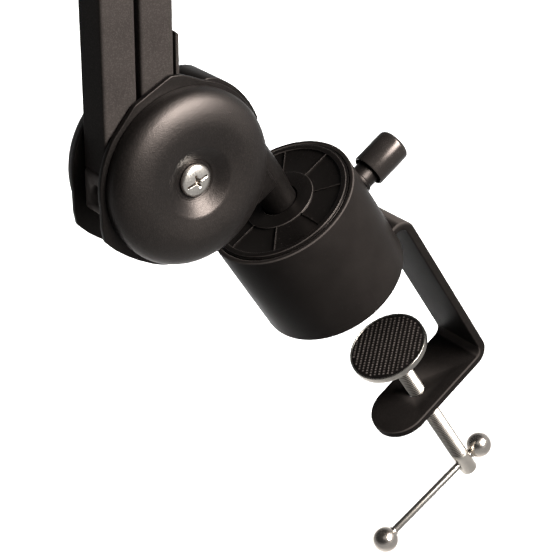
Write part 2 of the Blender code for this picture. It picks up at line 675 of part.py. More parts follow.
def yoke_casting(swivel):
    """Two side plates, the rim between them, the neck and the stem, in one casting."""
    centre = (YOKE_X, 0, YOKE_Z)
    front = prism(plate_outline(), -PLATE_OUT_Y, -PLATE_IN_Y)
    yoke = add_object("yoke_casting", front, "black_paint", centre)
    yoke.parent = swivel
    back = add_object(None, prism(plate_outline(), PLATE_IN_Y, PLATE_OUT_Y), None, centre, parent=swivel)
    rim = arc(0, 0, WEB_R, WEB_START, WEB_END, 8) + arc(0, 0, WEB_R - WEB_T, WEB_END, WEB_START, 8)
    reach = PLATE_IN_Y + WEB_BITE
    web = add_object(None, prism(rim, -reach, reach), None, centre, parent=swivel)
    inner = PLATE_R - WEB_T
    middle = min(-YOKE_X, inner)
    low = GUSSET_Z - YOKE_Z
    wall = arc(0, 0, inner, GUSSET_START, -math.degrees(math.acos(middle / inner)), 8)
    wall += [(middle, low), (GUSSET_LEFT, low)]
    gusset = add_object(None, prism(wall, -reach, reach), None, centre, parent=swivel)
    ring_z = BUSH_TOP_Z + GAP
    groove_r = STEM_R - RING_GROOVE_DEPTH
    hole_r = STEM_BOLT_R + GAP
    hole_top = STEM_END_Z + STEM_BOLT_L + GAP
    neck = [
        (0, hole_top),
        (hole_r, hole_top),
        (hole_r, STEM_END_Z),
        (STEM_R, STEM_END_Z),
        (STEM_R, ring_z),
        (groove_r, ring_z),
        (groove_r, ring_z + RING_T + GAP),
        (STEM_R, ring_z + RING_T + GAP),
        (STEM_R, NECK_BASE_Z),
        (NECK_R, NECK_BASE_Z + NECK_FLARE),
        (NECK_R, YOKE_Z - NECK_TOP_DROP),
        (0, YOKE_Z - NECK_TOP_DROP),
    ]
    stem = add_object(None, turned(neck, 28, closed=False), None, parent=swivel)
    join(yoke, back, web, gusset, stem, tie_boss(YOKE, swivel))
    cross_hole(yoke, YOKE, COVER_SCREW_M_R, swivel)
    cross_hole(yoke, LOWER_REAR, PIVOT_R, swivel)
    cross_hole(yoke, LOWER_FRONT, PIVOT_R, swivel)
    ring = ring_mesh(groove_r + GAP, BUSH_OUT_R, ring_z, ring_z + RING_T, 28)
    add_object("thrust_ring", ring, "steel", parent=swivel)
    flange_top = STEM_END_Z - GAP
    flange_bottom = flange_top - STEM_BOLT_FLANGE_T
    bolt_points = [
        (0, flange_bottom - STEM_BOLT_HEAD_T),
        (STEM_BOLT_HEAD_R, flange_bottom - STEM_BOLT_HEAD_T),
        (STEM_BOLT_HEAD_R, flange_bottom),
        (BOSS_IN_R - 2 * GAP, flange_bottom),
        (BOSS_IN_R - 2 * GAP, flange_top),
        (STEM_BOLT_R, flange_top),
        (STEM_BOLT_R, STEM_END_Z + STEM_BOLT_L),
        (0, STEM_END_Z + STEM_BOLT_L),
    ]
    add_object("stem_bolt", turned(bolt_points, 20, closed=False), "steel", parent=swivel)


def cross_hole(obj, centre, radius, parent, half=PLATE_OUT_Y):
    """Cut a hole along Y through both side plates."""
    hole = rod_mesh(radius + RUN_GAP, -half - 3.0, half + 3.0, 10)
    cut(obj, add_object(None, hole, None, centre, TOWARDS_FRONT, parent))


def dome_profile():
    """The cover's section: side wall, bulge, shallow plateau and a dimple round the screw."""
    top = DOME_SIDE + DOME_H
    dimple_z = top - DOME_DIMPLE_DEPTH
    outer = [(DOME_R, 0), (DOME_R, DOME_SIDE)]
    for angle in (22, 45, 67, 90):
        bulge, rise = polar(1.0, angle)
        outer.append((DOME_CREST_R + (DOME_R - DOME_CREST_R) * bulge, DOME_SIDE + DOME_H * rise))
    seat_r = SCREW_HEAD_R + DOME_SEAT_W
    outer += [(DOME_DIMPLE_R + DOME_DIP, top - DOME_DIP / 2), (DOME_DIMPLE_R, top - DOME_DIP)]
    outer += [(seat_r + 0.4, dimple_z + 0.4), (seat_r, dimple_z)]
    deep = top - DOME_WALL
    inner = [(DOME_R - DOME_WALL, 0), (DOME_R - DOME_WALL, DOME_SIDE)]
    inner += [(DOME_R - DOME_WALL - 3.6, DOME_SIDE + DOME_H * 0.6), (DOME_CREST_R, deep)]
    inner.append((DOME_DIMPLE_R + 1.0, dimple_z - DOME_WALL))
    return outer, inner, dimple_z


def dome_cover(name, centre, towards, parent, sides):
    outer, inner, dimple_z = dome_profile()
    bore = COVER_SCREW_M_R + GAP
    profile = outer + [(bore, dimple_z), (bore, dimple_z - DOME_WALL)] + list(reversed(inner))
    side = -1 if towards is TOWARDS_FRONT else 1
    seat = PLATE_OUT_Y + GAP
    place = Vector(centre) + Vector((0, side * seat, 0))
    add_object(name, turned(profile, sides), "black_paint", place, towards, parent)
    return seat + dimple_z


def cover_screw(name, centre, towards, parent, seat_y):
    """A pan-head screw through the cover into the end of the tie."""
    side = -1 if towards is TOWARDS_FRONT else 1
    head = seat_y + GAP
    profile = [
        (0, -SCREW_IN),
        (COVER_SCREW_M_R, -SCREW_IN),
        (COVER_SCREW_M_R, head - PLATE_OUT_Y),
        (SCREW_HEAD_R, head - PLATE_OUT_Y),
        (SCREW_HEAD_R, head - PLATE_OUT_Y + 0.9),
        (SCREW_HEAD_R * 0.8, head - PLATE_OUT_Y + SCREW_HEAD_T * 0.8),
        (0, head - PLATE_OUT_Y + SCREW_HEAD_T),
    ]
    place = Vector(centre) + Vector((0, side * PLATE_OUT_Y, 0))
    screw = add_object(name, turned(profile, 16, closed=False), "chrome", place, towards, parent)
    top = head - PLATE_OUT_Y + SCREW_HEAD_T
    for length, turn in ((SLOT_LONG, SLOT_TURN), (SLOT_SHORT, SLOT_TURN + 90.0)):
        slot = box_mesh((-length / 2, length / 2), (-SLOT_W / 2, SLOT_W / 2), (top - SLOT_DEPTH, top + 1.0))
        slot.transform(Matrix.Rotation(math.radians(turn), 4, "Z"))
        cut(screw, add_object(None, slot, None, place, towards, parent))


def tie_boss(centre, parent):
    """The cast pillar between the side plates that both cover screws enter."""
    reach = PLATE_IN_Y + WEB_BITE
    return add_object(None, rod_mesh(TIE_R, -reach, reach, 16), None, centre, TOWARDS_FRONT, parent)


def covers(prefix, centre, parent, sides):
    for label, towards in (("front", TOWARDS_FRONT), ("back", TOWARDS_BACK)):
        seat_y = dome_cover("%s_cover_%s" % (prefix, label), centre, towards, parent, sides)
        cover_screw("%s_cover_screw_%s" % (prefix, label), centre, towards, parent, seat_y)


def pivot_pin(name, centre, parent):
    """A headed pin through both side plates, closed by a riveted end."""
    half = PLATE_OUT_Y + GAP
    head = half + PIVOT_HEAD_T
    profile = [(0, -head), (PIVOT_HEAD_R, -head), (PIVOT_HEAD_R, -half), (PIVOT_R, -half)]
    profile += [(PIVOT_R, half), (PIVOT_HEAD_R, half), (PIVOT_HEAD_R, head), (0, head)]
    add_object(name, turned(profile, 10, closed=False), "steel", centre, TOWARDS_FRONT, parent)


def end_plug(name, frame, base, sign):
    """The bar's end fitting: a block with the pivot bore, and a tenon in the tube."""
    half_w = BAR_W / 2
    inner_w = half_w - BAR_WALL - GAP
    inner_d = BAR_HALF_D - BAR_WALL - GAP
    shoulder = TUBE_START - GAP
    limits = sorted((base - sign * PLUG_END, base + sign * shoulder))
    block = rounded_box((-half_w, half_w), limits, 2.0, -BAR_HALF_D, BAR_HALF_D, 2)
    plug = add_object(name, block, "grey_plastic", (0, 0, 0), (0, 0, 0), frame)
    tenon_z = sorted((base + sign * (shoulder - 3.0), base + sign * (TUBE_START + PLUG_L)))
    tenon = box_mesh((-inner_w, inner_w), (-inner_d, inner_d), tenon_z)
    join(plug, add_object(None, tenon, None, parent=frame))
    bore = rod_mesh(PIVOT_R + RUN_GAP, -BAR_D, BAR_D, 10)
    side_hole = rod_mesh(PLUG_HOLE_R, -BAR_W, BAR_W, 10)
    cut(
        plug,
        add_object(None, bore, None, (0, 0, base), TOWARDS_FRONT, frame),
        add_object(None, side_hole, None, (0, 0, base), ALONG_X, frame),
    )


def bar_tube(name, frame, holes=()):
    """A square tube between the two end plugs."""
    z0, z1 = TUBE_START, ARM_L - TUBE_START
    half_w = BAR_W / 2
    outside = rounded_box_tube(half_w, BAR_HALF_D, BAR_WALL, z0, z1)
    tube = add_object(name, outside, "black_bar", (0, 0, 0), (0, 0, 0), frame)
    inner_w = half_w - BAR_WALL
    inner_d = BAR_HALF_D - BAR_WALL
    inner = box_mesh((-inner_w, inner_w), (-inner_d, inner_d), (z0 - BAR_WALL, z1 + BAR_WALL))
    cut(tube, add_object(None, inner, None, parent=frame))
    for z, radius in holes:
        drill = rod_mesh(radius + GAP, -BAR_D, BAR_D, 10)
        cut(tube, add_object(None, drill, None, (0, 0, z), TOWARDS_FRONT, frame))


def rounded_box_tube(half_x, half_y, radius, z0, z1):
    """A bar along Z with rounded long edges."""
    points = []
    for sx, sy, start in ((1, 1, 0), (-1, 1, 90), (-1, -1, 180), (1, -1, 270)):
        points += arc(sx * (half_x - radius), sy * (half_y - radius), radius, start, start + 90, 2)
    bm = bmesh.new()
    face = bm.faces.new([bm.verts.new((x, y, z0)) for x, y in points])
    moved = bmesh.ops.extrude_face_region(bm, geom=[face])["geom"]
    verts = [v for v in moved if isinstance(v, bmesh.types.BMVert)]
    bmesh.ops.translate(bm, verts=verts, vec=(0, 0, z1 - z0))
    return bm


def spring_points():
    """The spring's middle line: a helix whose two ends turn in to the axis as hooks' shanks."""
    step = 8
    count = SPRING_CURLS * step
    pitch = SPRING_L / SPRING_CURLS
    start = SPRING_START
    points = []
    for i in range(count + 1):
        angle = math.tau * i / step
        points.append((SPRING_R * math.cos(angle), SPRING_R * math.sin(angle), start + pitch * i / step))
    return points


def spring_gap():
    """Least distance between turns of the wire, measured on the points."""
    points = [Vector(p) for p in spring_points()]
    apart = [
        (a - b).length
        for i, a in enumerate(points)
        for j, b in enumerate(points)
        if j - i > 5
    ]
    return min(apart) - 2 * SPRING_WIRE_R


def tension_spring(name, frame):
    curve = bpy.data.curves.new(name, "CURVE")
    curve.dimensions = "3D"
    curve.bevel_depth = SPRING_WIRE_R * MM
    curve.bevel_resolution = 0
    curve.use_fill_caps = True
    points = spring_points()
    spline = curve.splines.new("POLY")
    spline.points.add(len(points) - 1)
    for target, point in zip(spline.points, points):
        target.co = (point[0] * MM, point[1] * MM, point[2] * MM, 1.0)
    curve.materials.append(finish("steel"))
    spring = bpy.data.objects.new(name, curve)
    bpy.context.scene.collection.objects.link(spring)
    spring.parent = frame


def spring_set(prefix, frame):
    """The spring and the block pinned in the bar that holds its far end."""
    tension_spring("%s_spring" % prefix, frame)
    half_w = BAR_W / 2 - BAR_WALL - GAP
    half_d = BAR_HALF_D - BAR_WALL - GAP
    z0 = spring_anchor_z() - SPRING_ANCHOR_L / 2
    block = box_mesh((-half_w, half_w), (-half_d, half_d), (z0, z0 + SPRING_ANCHOR_L))
    anchor = add_object("%s_spring_anchor" % prefix, block, "steel", parent=frame)
    pin = rod_mesh(HOOK_PIN_R, -BAR_HALF_D + 0.2, BAR_HALF_D - 0.2, 16)
    join(anchor, add_object(None, pin, None, (0, 0, spring_anchor_z()), TOWARDS_FRONT, frame))


def spring_anchor_z():
    return SPRING_START + SPRING_L + SPRING_WIRE_R + GAP + SPRING_ANCHOR_L / 2


def washers(prefix, frame):
    """Thin washers between the bar's end and the side plates."""
    thick = PLATE_IN_Y - BAR_HALF_D - 2 * GAP
    for label, side in (("front", -1), ("back", 1)):
        y0 = side * (BAR_HALF_D + GAP)
        ring = ring_mesh(PIVOT_R + RUN_GAP, PIVOT_WASHER_R, 0, thick, 20)
        towards = TOWARDS_FRONT if side < 0 else TOWARDS_BACK
        add_object("%s_washer_%s" % (prefix, label), ring, "nickel", (0, y0, 0), towards, frame)


def arm(prefix, rear_pivot, front_pivot, lean, washered):
    """Two parallel bars; the front one holds the spring."""
    for label, pivot in (("rear", rear_pivot), ("front", front_pivot)):
        frame = frame_at("%s_%s_pivot" % (prefix, label), pivot, lean)
        name = "%s_%s" % (prefix, label)
        holes = ((spring_anchor_z(), HOOK_PIN_R),) if label == "front" else ()
        bar_tube("%s_bar" % name, frame, holes)
        end_plug("%s_plug_near" % name, frame, 0.0, 1)
        end_plug("%s_plug_far" % name, frame, ARM_L, -1)
        if label == "front":
            spring_set(prefix, frame)
        if washered and label == "rear":
            washers(name, frame)
        if washered and label == "front":
            stop_strip(frame)


def stop_strip(frame):
    """The thin strip that stands a little off the lower front bar, and its rivet."""
    x0 = BAR_W / 2 + STRIP_STAND_OFF
    y0 = -BAR_HALF_D
    points = [(x0, STRIP_BOTTOM), (x0 + STRIP_T, STRIP_BOTTOM)]
    points += [(x0 + STRIP_T, STRIP_TOP - STRIP_T), (x0, STRIP_TOP)]
    strip = add_object("stop_strip", prism(points, y0, y0 + STRIP_W), "black_bar", parent=frame)
    middle = (0, y0 + STRIP_W / 2, (STRIP_BOTTOM + STRIP_TOP) / 2)
    post = rod_mesh(RIVET_R, BAR_W / 2 + GAP, x0 + STRIP_T / 2, 16)
    join(strip, add_object(None, post, None, middle, ALONG_X, frame))


def elbow():
    frame = frame_at("elbow_frame_axis", ELBOW_REAR)
    centre = ELBOW - ELBOW_REAR
    disc = arc(0, 0, ELBOW_R, 0, 345, 23)
    plate = prism(disc, -PLATE_OUT_Y, -PLATE_IN_Y)
    front = add_object("elbow_casting", plate, "black_paint", centre, parent=frame)
    back = add_object(None, prism(disc, PLATE_IN_Y, PLATE_OUT_Y), None, centre, parent=frame)
    rim = arc(0, 0, ELBOW_R - 0.4, ELBOW_WEB_START, ELBOW_WEB_END, 8)
    rim += arc(0, 0, ELBOW_R - WEB_T, ELBOW_WEB_END, ELBOW_WEB_START, 8)
    reach = PLATE_IN_Y + WEB_BITE
    web = add_object(None, prism(rim, -reach, reach), None, centre, parent=frame)
    join(front, back, web, tie_boss(centre, frame))
    cross_hole(front, centre, COVER_SCREW_M_R, frame)
    pivots = (("lower_rear", ELBOW_REAR), ("lower_front", ELBOW_FRONT), ("upper_rear", UPPER_REAR))
    pivots += (("upper_front", UPPER_FRONT),)
    for label, pivot in pivots:
        cross_hole(front, pivot - ELBOW_REAR, PIVOT_R, frame)
        pivot_pin("elbow_%s_pin" % label, pivot - ELBOW_REAR, frame)
    covers("elbow", centre, frame, 24)


def head():
    """The bracket at the arm's end, with the tongue that the fork clasps."""
    frame = frame_at("head_axis", HEAD_REAR)
    mid = UPPER_LINK / 2
    far = UPPER_LINK
    lean = UPPER_LINK_TURN
    outline = arc(0, 0, HEAD_R, lean - 270, lean - 90, 8)
    outline += arc(far.x, far.z, HEAD_R, lean - 90, lean + 90, 8)
    boss_z = (mid.z - TONGUE_R, mid.z + TONGUE_R)
    plate = prism(outline, -PLATE_OUT_Y, -PLATE_IN_Y)
    bracket = add_object("head_bracket", plate, "black_paint", parent=frame)
    back = add_object(None, prism(outline, PLATE_IN_Y, PLATE_OUT_Y), None, parent=frame)
    cheek = box_mesh((HEAD_BOSS_X - HEAD_BOSS_W, mid.x), (-PLATE_OUT_Y, PLATE_OUT_Y), boss_z)
    room = box_mesh((HEAD_BOSS_X, mid.x + 10.0), (-PLATE_IN_Y, PLATE_IN_Y), (mid.z - 20.0, mid.z + 20.0))
    cheeks = cut(add_object(None, cheek, None, parent=frame), add_object(None, room, None, parent=frame))
    tip = mid.x + TONGUE_X
    tongue = arc(tip, mid.z, TONGUE_R, 90, 270, 8)
    root = HEAD_BOSS_X - HEAD_BOSS_W / 2
    tongue += [(tip + TONGUE_R, mid.z - TONGUE_NECK), (root, mid.z - TONGUE_NECK)]
    tongue += [(root, mid.z + TONGUE_NECK), (tip + TONGUE_R, mid.z + TONGUE_NECK)]
    nose = add_object(None, prism(tongue, -TONGUE_HALF_T, TONGUE_HALF_T), None, parent=frame)
    join(bracket, back, cheeks, nose)
    cross_hole(bracket, (tip, 0, mid.z), TILT_BOLT_R, frame)
    for label, offset in (("rear", Vector((0, 0, 0))), ("front", far)):
        cross_hole(bracket, offset, PIVOT_R, frame)
        pivot_pin("head_%s_pin" % label, offset, frame)


def microphone_fork():
    """The fork hangs from the tilt bolt; its threaded stud takes the microphone."""
    frame = frame_at("tilt_axis", TILT)
    inner_y = TONGUE_HALF_T + GAP
    outer_y = inner_y + EAR_T
    bottom = -FORK_DROP
    side = arc(0, 0, TONGUE_R, 0, 180, 8) + [(-TONGUE_R, bottom), (TONGUE_R, bottom)]
    fork = add_object("mic_fork", prism(side, -outer_y, outer_y), "black_paint", parent=frame)
    room_z = (bottom + FORK_BRIDGE_T, TONGUE_R + 2.0)
    room = box_mesh((-TONGUE_R - 2.0, TONGUE_R + 2.0), (-inner_y, inner_y), room_z)
    stud = rod_mesh(STUD_R, bottom - STUD_L, bottom + 2.0, 20)
    cut(fork, add_object(None, room, None, parent=frame))
    join(fork, add_object(None, stud, None, parent=frame))
    cross_hole(fork, (0, 0, 0), TILT_BOLT_R, frame)
    knob_y = outer_y + GAP
    knob = [(0, -outer_y), (TILT_BOLT_R, -outer_y), (TILT_BOLT_R, knob_y)]
    knob += [(TILT_COLLAR_R, knob_y), (TILT_COLLAR_R, knob_y + 2.0)]
    knob += [(TILT_KNOB_R, knob_y + 3.0), (TILT_KNOB_R, knob_y + TILT_KNOB_L - 1.5)]
    knob += [(TILT_KNOB_R - 1.5, knob_y + TILT_KNOB_L), (0, knob_y + TILT_KNOB_L)]
    knob = turned(knob, 20, closed=False)
    add_object("tilt_knob", knob, "black_plastic", (0, 0, 0), TOWARDS_FRONT, frame)


def main():
    clear_scene()
    base_housing()
    top_lid()
    bottom_parts()
    stem_bush()
    c_bracket()
    thumb_screw()
    clamp_screw()
    swivel = frame_at("swivel_axis", (0, 0, 0))
    yoke_casting(swivel)
    covers("yoke", YOKE, swivel, 36)
    pivot_pin("yoke_rear_pin", LOWER_REAR, swivel)
    pivot_pin("yoke_front_pin", LOWER_FRONT, swivel)
    arm("lower", LOWER_REAR, LOWER_FRONT, LOWER_LEAN, True)
    elbow()
    arm("upper", UPPER_REAR, UPPER_FRONT, UPPER_LEAN, False)
    head()
    microphone_fork()
    print("least gap between a spring's turns: %.2f mm" % spring_gap())


main()
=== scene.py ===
"""Looks of the desktop microphone stand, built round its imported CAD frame.

Shapes are made in millimetres and scaled once. Every piece takes its place from the frame's joints and boxes.
"""

import json
import math

import bmesh
import bpy
from mathutils import Matrix, Vector


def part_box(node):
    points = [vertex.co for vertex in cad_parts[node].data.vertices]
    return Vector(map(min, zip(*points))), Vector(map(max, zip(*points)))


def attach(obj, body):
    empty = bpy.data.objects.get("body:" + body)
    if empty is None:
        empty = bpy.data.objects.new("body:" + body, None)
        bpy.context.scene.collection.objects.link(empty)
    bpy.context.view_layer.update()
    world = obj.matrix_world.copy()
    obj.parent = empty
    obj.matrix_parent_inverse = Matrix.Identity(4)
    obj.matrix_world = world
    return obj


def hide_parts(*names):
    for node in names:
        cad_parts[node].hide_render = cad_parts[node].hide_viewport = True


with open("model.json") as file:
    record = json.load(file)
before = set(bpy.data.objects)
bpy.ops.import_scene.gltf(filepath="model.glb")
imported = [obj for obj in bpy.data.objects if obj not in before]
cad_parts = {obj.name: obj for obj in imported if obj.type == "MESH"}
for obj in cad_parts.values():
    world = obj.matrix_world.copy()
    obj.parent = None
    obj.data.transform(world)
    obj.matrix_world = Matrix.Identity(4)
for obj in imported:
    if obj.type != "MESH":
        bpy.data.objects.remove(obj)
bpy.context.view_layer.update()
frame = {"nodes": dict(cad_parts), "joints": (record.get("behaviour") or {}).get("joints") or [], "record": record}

MM = 0.001
JOINTS = {joint["name"]: joint for joint in frame["joints"]}
BODY_OF = {n: body for body, nodes in frame["record"]["behaviour"]["bodies"].items() for n in nodes}
SLOT_OF = {part["node"]: part["material_slot"] for part in frame["record"]["subparts"]}


def joint_at(name):
    return Vector(JOINTS[name]["pos_m"]) / MM


def node_box(name):
    low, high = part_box(name)
    return low / MM, high / MM


def cover_centre(prefix):
    """The middle of a pair of domed covers, half way between them."""
    low, high = node_box("%s_cover_front" % prefix)
    return Vector(((low.x + high.x) / 2, 0, (low.z + high.z) / 2))


def lean_of(start, end):
    """How far an arm leans from upright, in radians."""
    return math.atan2((end - start).x, (end - start).z)


# Places and sizes in millimetres

LOWER_REAR = joint_at("lower_arm")
LOWER_FRONT = joint_at("lower_front_bar_turn")
ELBOW_REAR = joint_at("elbow_turn")
UPPER_REAR = joint_at("upper_arm")
UPPER_FRONT = joint_at("upper_front_bar_turn")
HEAD_REAR = joint_at("head_turn")
TILT = joint_at("mic_tilt")
PAD_BALL = joint_at("pad_tilt")
THUMB_Z = joint_at("thumb_screw_turn").z
YOKE = cover_centre("yoke")
ELBOW = cover_centre("elbow")
UPPER_LINK = UPPER_FRONT - UPPER_REAR
ARM_L = (ELBOW_REAR - LOWER_REAR).length
LOWER_LEAN = lean_of(LOWER_REAR, ELBOW_REAR)
UPPER_LEAN = lean_of(UPPER_REAR, HEAD_REAR)

HOUSING_LOW, HOUSING_HIGH = node_box("base_housing")
HOUSING_R = HOUSING_HIGH.x
HOUSING_TOP = HOUSING_HIGH.z
LID_LOW, LID_HIGH = node_box("top_lid")
LID_R = LID_HIGH.x
LID_TOP = LID_HIGH.z
BRACKET_LOW, BRACKET_HIGH = node_box("c_bracket")
BAR_THICK = 4.0
BAR_WIDE = BRACKET_HIGH.y - BRACKET_LOW.y
JAW_TOP = BRACKET_LOW.z + BAR_THICK
PAD_LOW, PAD_HIGH = node_box("clamp_pad")
PAD_TOP = PAD_HIGH.z
CLAMP_AXIS = Vector((PAD_BALL.x, 0, 0))
ROD_R = 4.2
ROD_END = node_box("clamp_rod")[0].z
ROD_PITCH = 1.25
HANDLE_TURN = 176.65
HANDLE_LOW, HANDLE_HIGH = node_box("tommy_bar")
HANDLE_MIDDLE = Vector((PAD_BALL.x, 0, (HANDLE_LOW.z + HANDLE_HIGH.z) / 2))
PLATE_IN, PLATE_OUT = 9.3, 11.6
PLATES = ((-PLATE_OUT, -PLATE_IN), (PLATE_IN, PLATE_OUT))
WEB_Y = 9.9
COVER_SEAT = 11.9
COVER_R = 36.5
SCREW_SEAT = 6.8
SCREW_TOP = SCREW_SEAT + 2.8
TUBE_X, TUBE_Y = 7.5, 8.275
PIVOT_BORE_R = 3.3

FRONT = Matrix.Rotation(math.radians(90), 4, "X")
BACK = Matrix.Rotation(math.radians(-90), 4, "X")
ALONG_X = Matrix.Rotation(math.radians(90), 4, "Y")
SIDES = (("front", -1, FRONT), ("back", 1, BACK))
SQUARE = ((-1, -1), (1, -1), (1, 1), (-1, 1))


# Shapes

def polar(radius, angle):
    return radius * math.cos(math.radians(angle)), radius * math.sin(math.radians(angle))


def arc(x, z, radius, start, end, steps):
    """Points on an arc, its angles in degrees from the first axis towards the second."""
    turns = [polar(radius, start + (end - start) * i / steps) for i in range(steps + 1)]
    return [(x + across, z + up) for across, up in turns]


def soften(points, radius, steps=3, closed=True):
    """Round the corners of an outline."""
    rounded = []
    count = len(points)
    for i, point in enumerate(points):
        corner = Vector(point)
        before = Vector(points[i - 1]) - corner
        after = Vector(points[(i + 1) % count]) - corner
        straight = before.length < 1e-6 or after.length < 1e-6 or before.angle(after) > math.radians(172)
        if straight or (not closed and i in (0, count - 1)):
            rounded.append(tuple(corner))
            continue
        reach = min(radius, 0.45 * before.length, 0.45 * after.length)
        first = corner + before.normalized() * reach
        last = corner + after.normalized() * reach
        for k in range(steps + 1):
            t = k / steps
            rounded.append(tuple(first * (1 - t) ** 2 + corner * 2 * t * (1 - t) + last * t**2))
    return rounded


def flowing(points, steps=5):
    """A smooth curve through the points."""
    path = [Vector(points[0])] + [Vector(p) for p in points] + [Vector(points[-1])]
    curve = []
    for i in range(1, len(path) - 2):
        a, b, c, d = path[i - 1:i + 3]
        for k in range(steps):
            t = k / steps
            even = 2 * b + (c - a) * t
            odd = (2 * a - 5 * b + 4 * c - d) * t**2 + (3 * b - a - 3 * c + d) * t**3
            curve.append(tuple((even + odd) / 2))
    curve.append(tuple(path[-1]))
    return curve


def lathe(profile, sides, closed=True):
    """Spin (radius, height) points round +Z."""
    bm = bmesh.new()
    verts = [bm.verts.new((max(r, 0.0), 0, z)) for r, z in profile]
    pairs = list(zip(verts, verts[1:]))
    if closed:
        pairs.append((verts[-1], verts[0]))
    edges = [bm.edges.new(pair) for pair in pairs]
    bmesh.ops.spin(
        bm, geom=verts + edges, cent=(0, 0, 0), axis=(0, 0, 1), angle=math.tau, steps=sides, use_merge=True
    )
    return bm


def turned(profile, sides):
    """Spin a profile that starts and ends on the axis."""
    return lathe(profile, sides, closed=False)


def rod(radius, z0, z1, sides=48, edge=0.3):
    """A round bar along Z with softened ends."""
    return turned(soften([(0, z0), (radius, z0), (radius, z1), (0, z1)], edge, closed=False), sides)


def ring(inner, outer, thick, edge, sides=64):
    return lathe(soften([(inner, 0), (outer, 0), (outer, thick), (inner, thick)], edge), sides)


def prism(points, y0, y1):
    """Extrude an outline in the XZ plane from y0 to y1."""
    bm = bmesh.new()
    face = bm.faces.new([bm.verts.new((x, y0, z)) for x, z in points])
    made = bmesh.ops.extrude_face_region(bm, geom=[face])["geom"]
    far = [item for item in made if isinstance(item, bmesh.types.BMVert)]
    bmesh.ops.translate(bm, verts=far, vec=(0, y1 - y0, 0))
    return bm


def block(x, y, z):
    return prism([(x[0], z[0]), (x[1], z[0]), (x[1], z[1]), (x[0], z[1])], y[0], y[1])


def skin(rows, ends=True, bm=None):
    """Join rings of points by quads. Without ends, the last ring meets the first."""
    if bm is None:
        bm = bmesh.new()
    rings = [[bm.verts.new(point) for point in row] for row in rows]
    if not ends:
        rings.append(rings[0])
    for near, far in zip(rings, rings[1:]):
        for i in range(len(near)):
            j = (i + 1) % len(near)
            bm.faces.new((near[i], near[j], far[j], far[i]))
    if ends:
        bm.faces.new(list(reversed(rings[0])))
        bm.faces.new(rings[-1])
    return bm


def ease(width, *shells):
    """Round the sharp edges of each shell."""
    for shell in shells:
        sharp = [edge for edge in shell.edges if edge.calc_face_angle(0.0) > math.radians(50)]
        bmesh.ops.bevel(shell, geom=sharp, offset=width, segments=3, affect="EDGES", profile=0.5)


def together(*meshes):
    """Put several closed shells in one mesh."""
    whole = bmesh.new()
    for part in meshes:
        copy = bpy.data.meshes.new("part")
        part.to_mesh(copy)
        part.free()
        whole.from_mesh(copy)
        bpy.data.meshes.remove(copy)
    return whole


def moved(bm, matrix):
    bm.transform(matrix)
    return bm


def helix(radius, depth, pitch, z0, z1, sides, fade=1.5):
    """A threaded bar: its V groove climbs one pitch a turn and fades out at both ends."""
    rows_per_turn = 6
    count = int((z1 - z0) / pitch * rows_per_turn)
    rows = []
    for i in range(count + 1):
        z = z0 + (z1 - z0) * i / count
        run = max(min(1.0, (z - z0) / fade, (z1 - z) / fade), 0.0)
        row = []
        for k in range(sides):
            phase = (z / pitch - k / sides) % 1.0
            reach = radius - depth * abs(2 * phase - 1) * run
            row.append((*polar(reach, 360.0 * k / sides), z))
        rows.append(row)
    return skin(rows)


# Materials

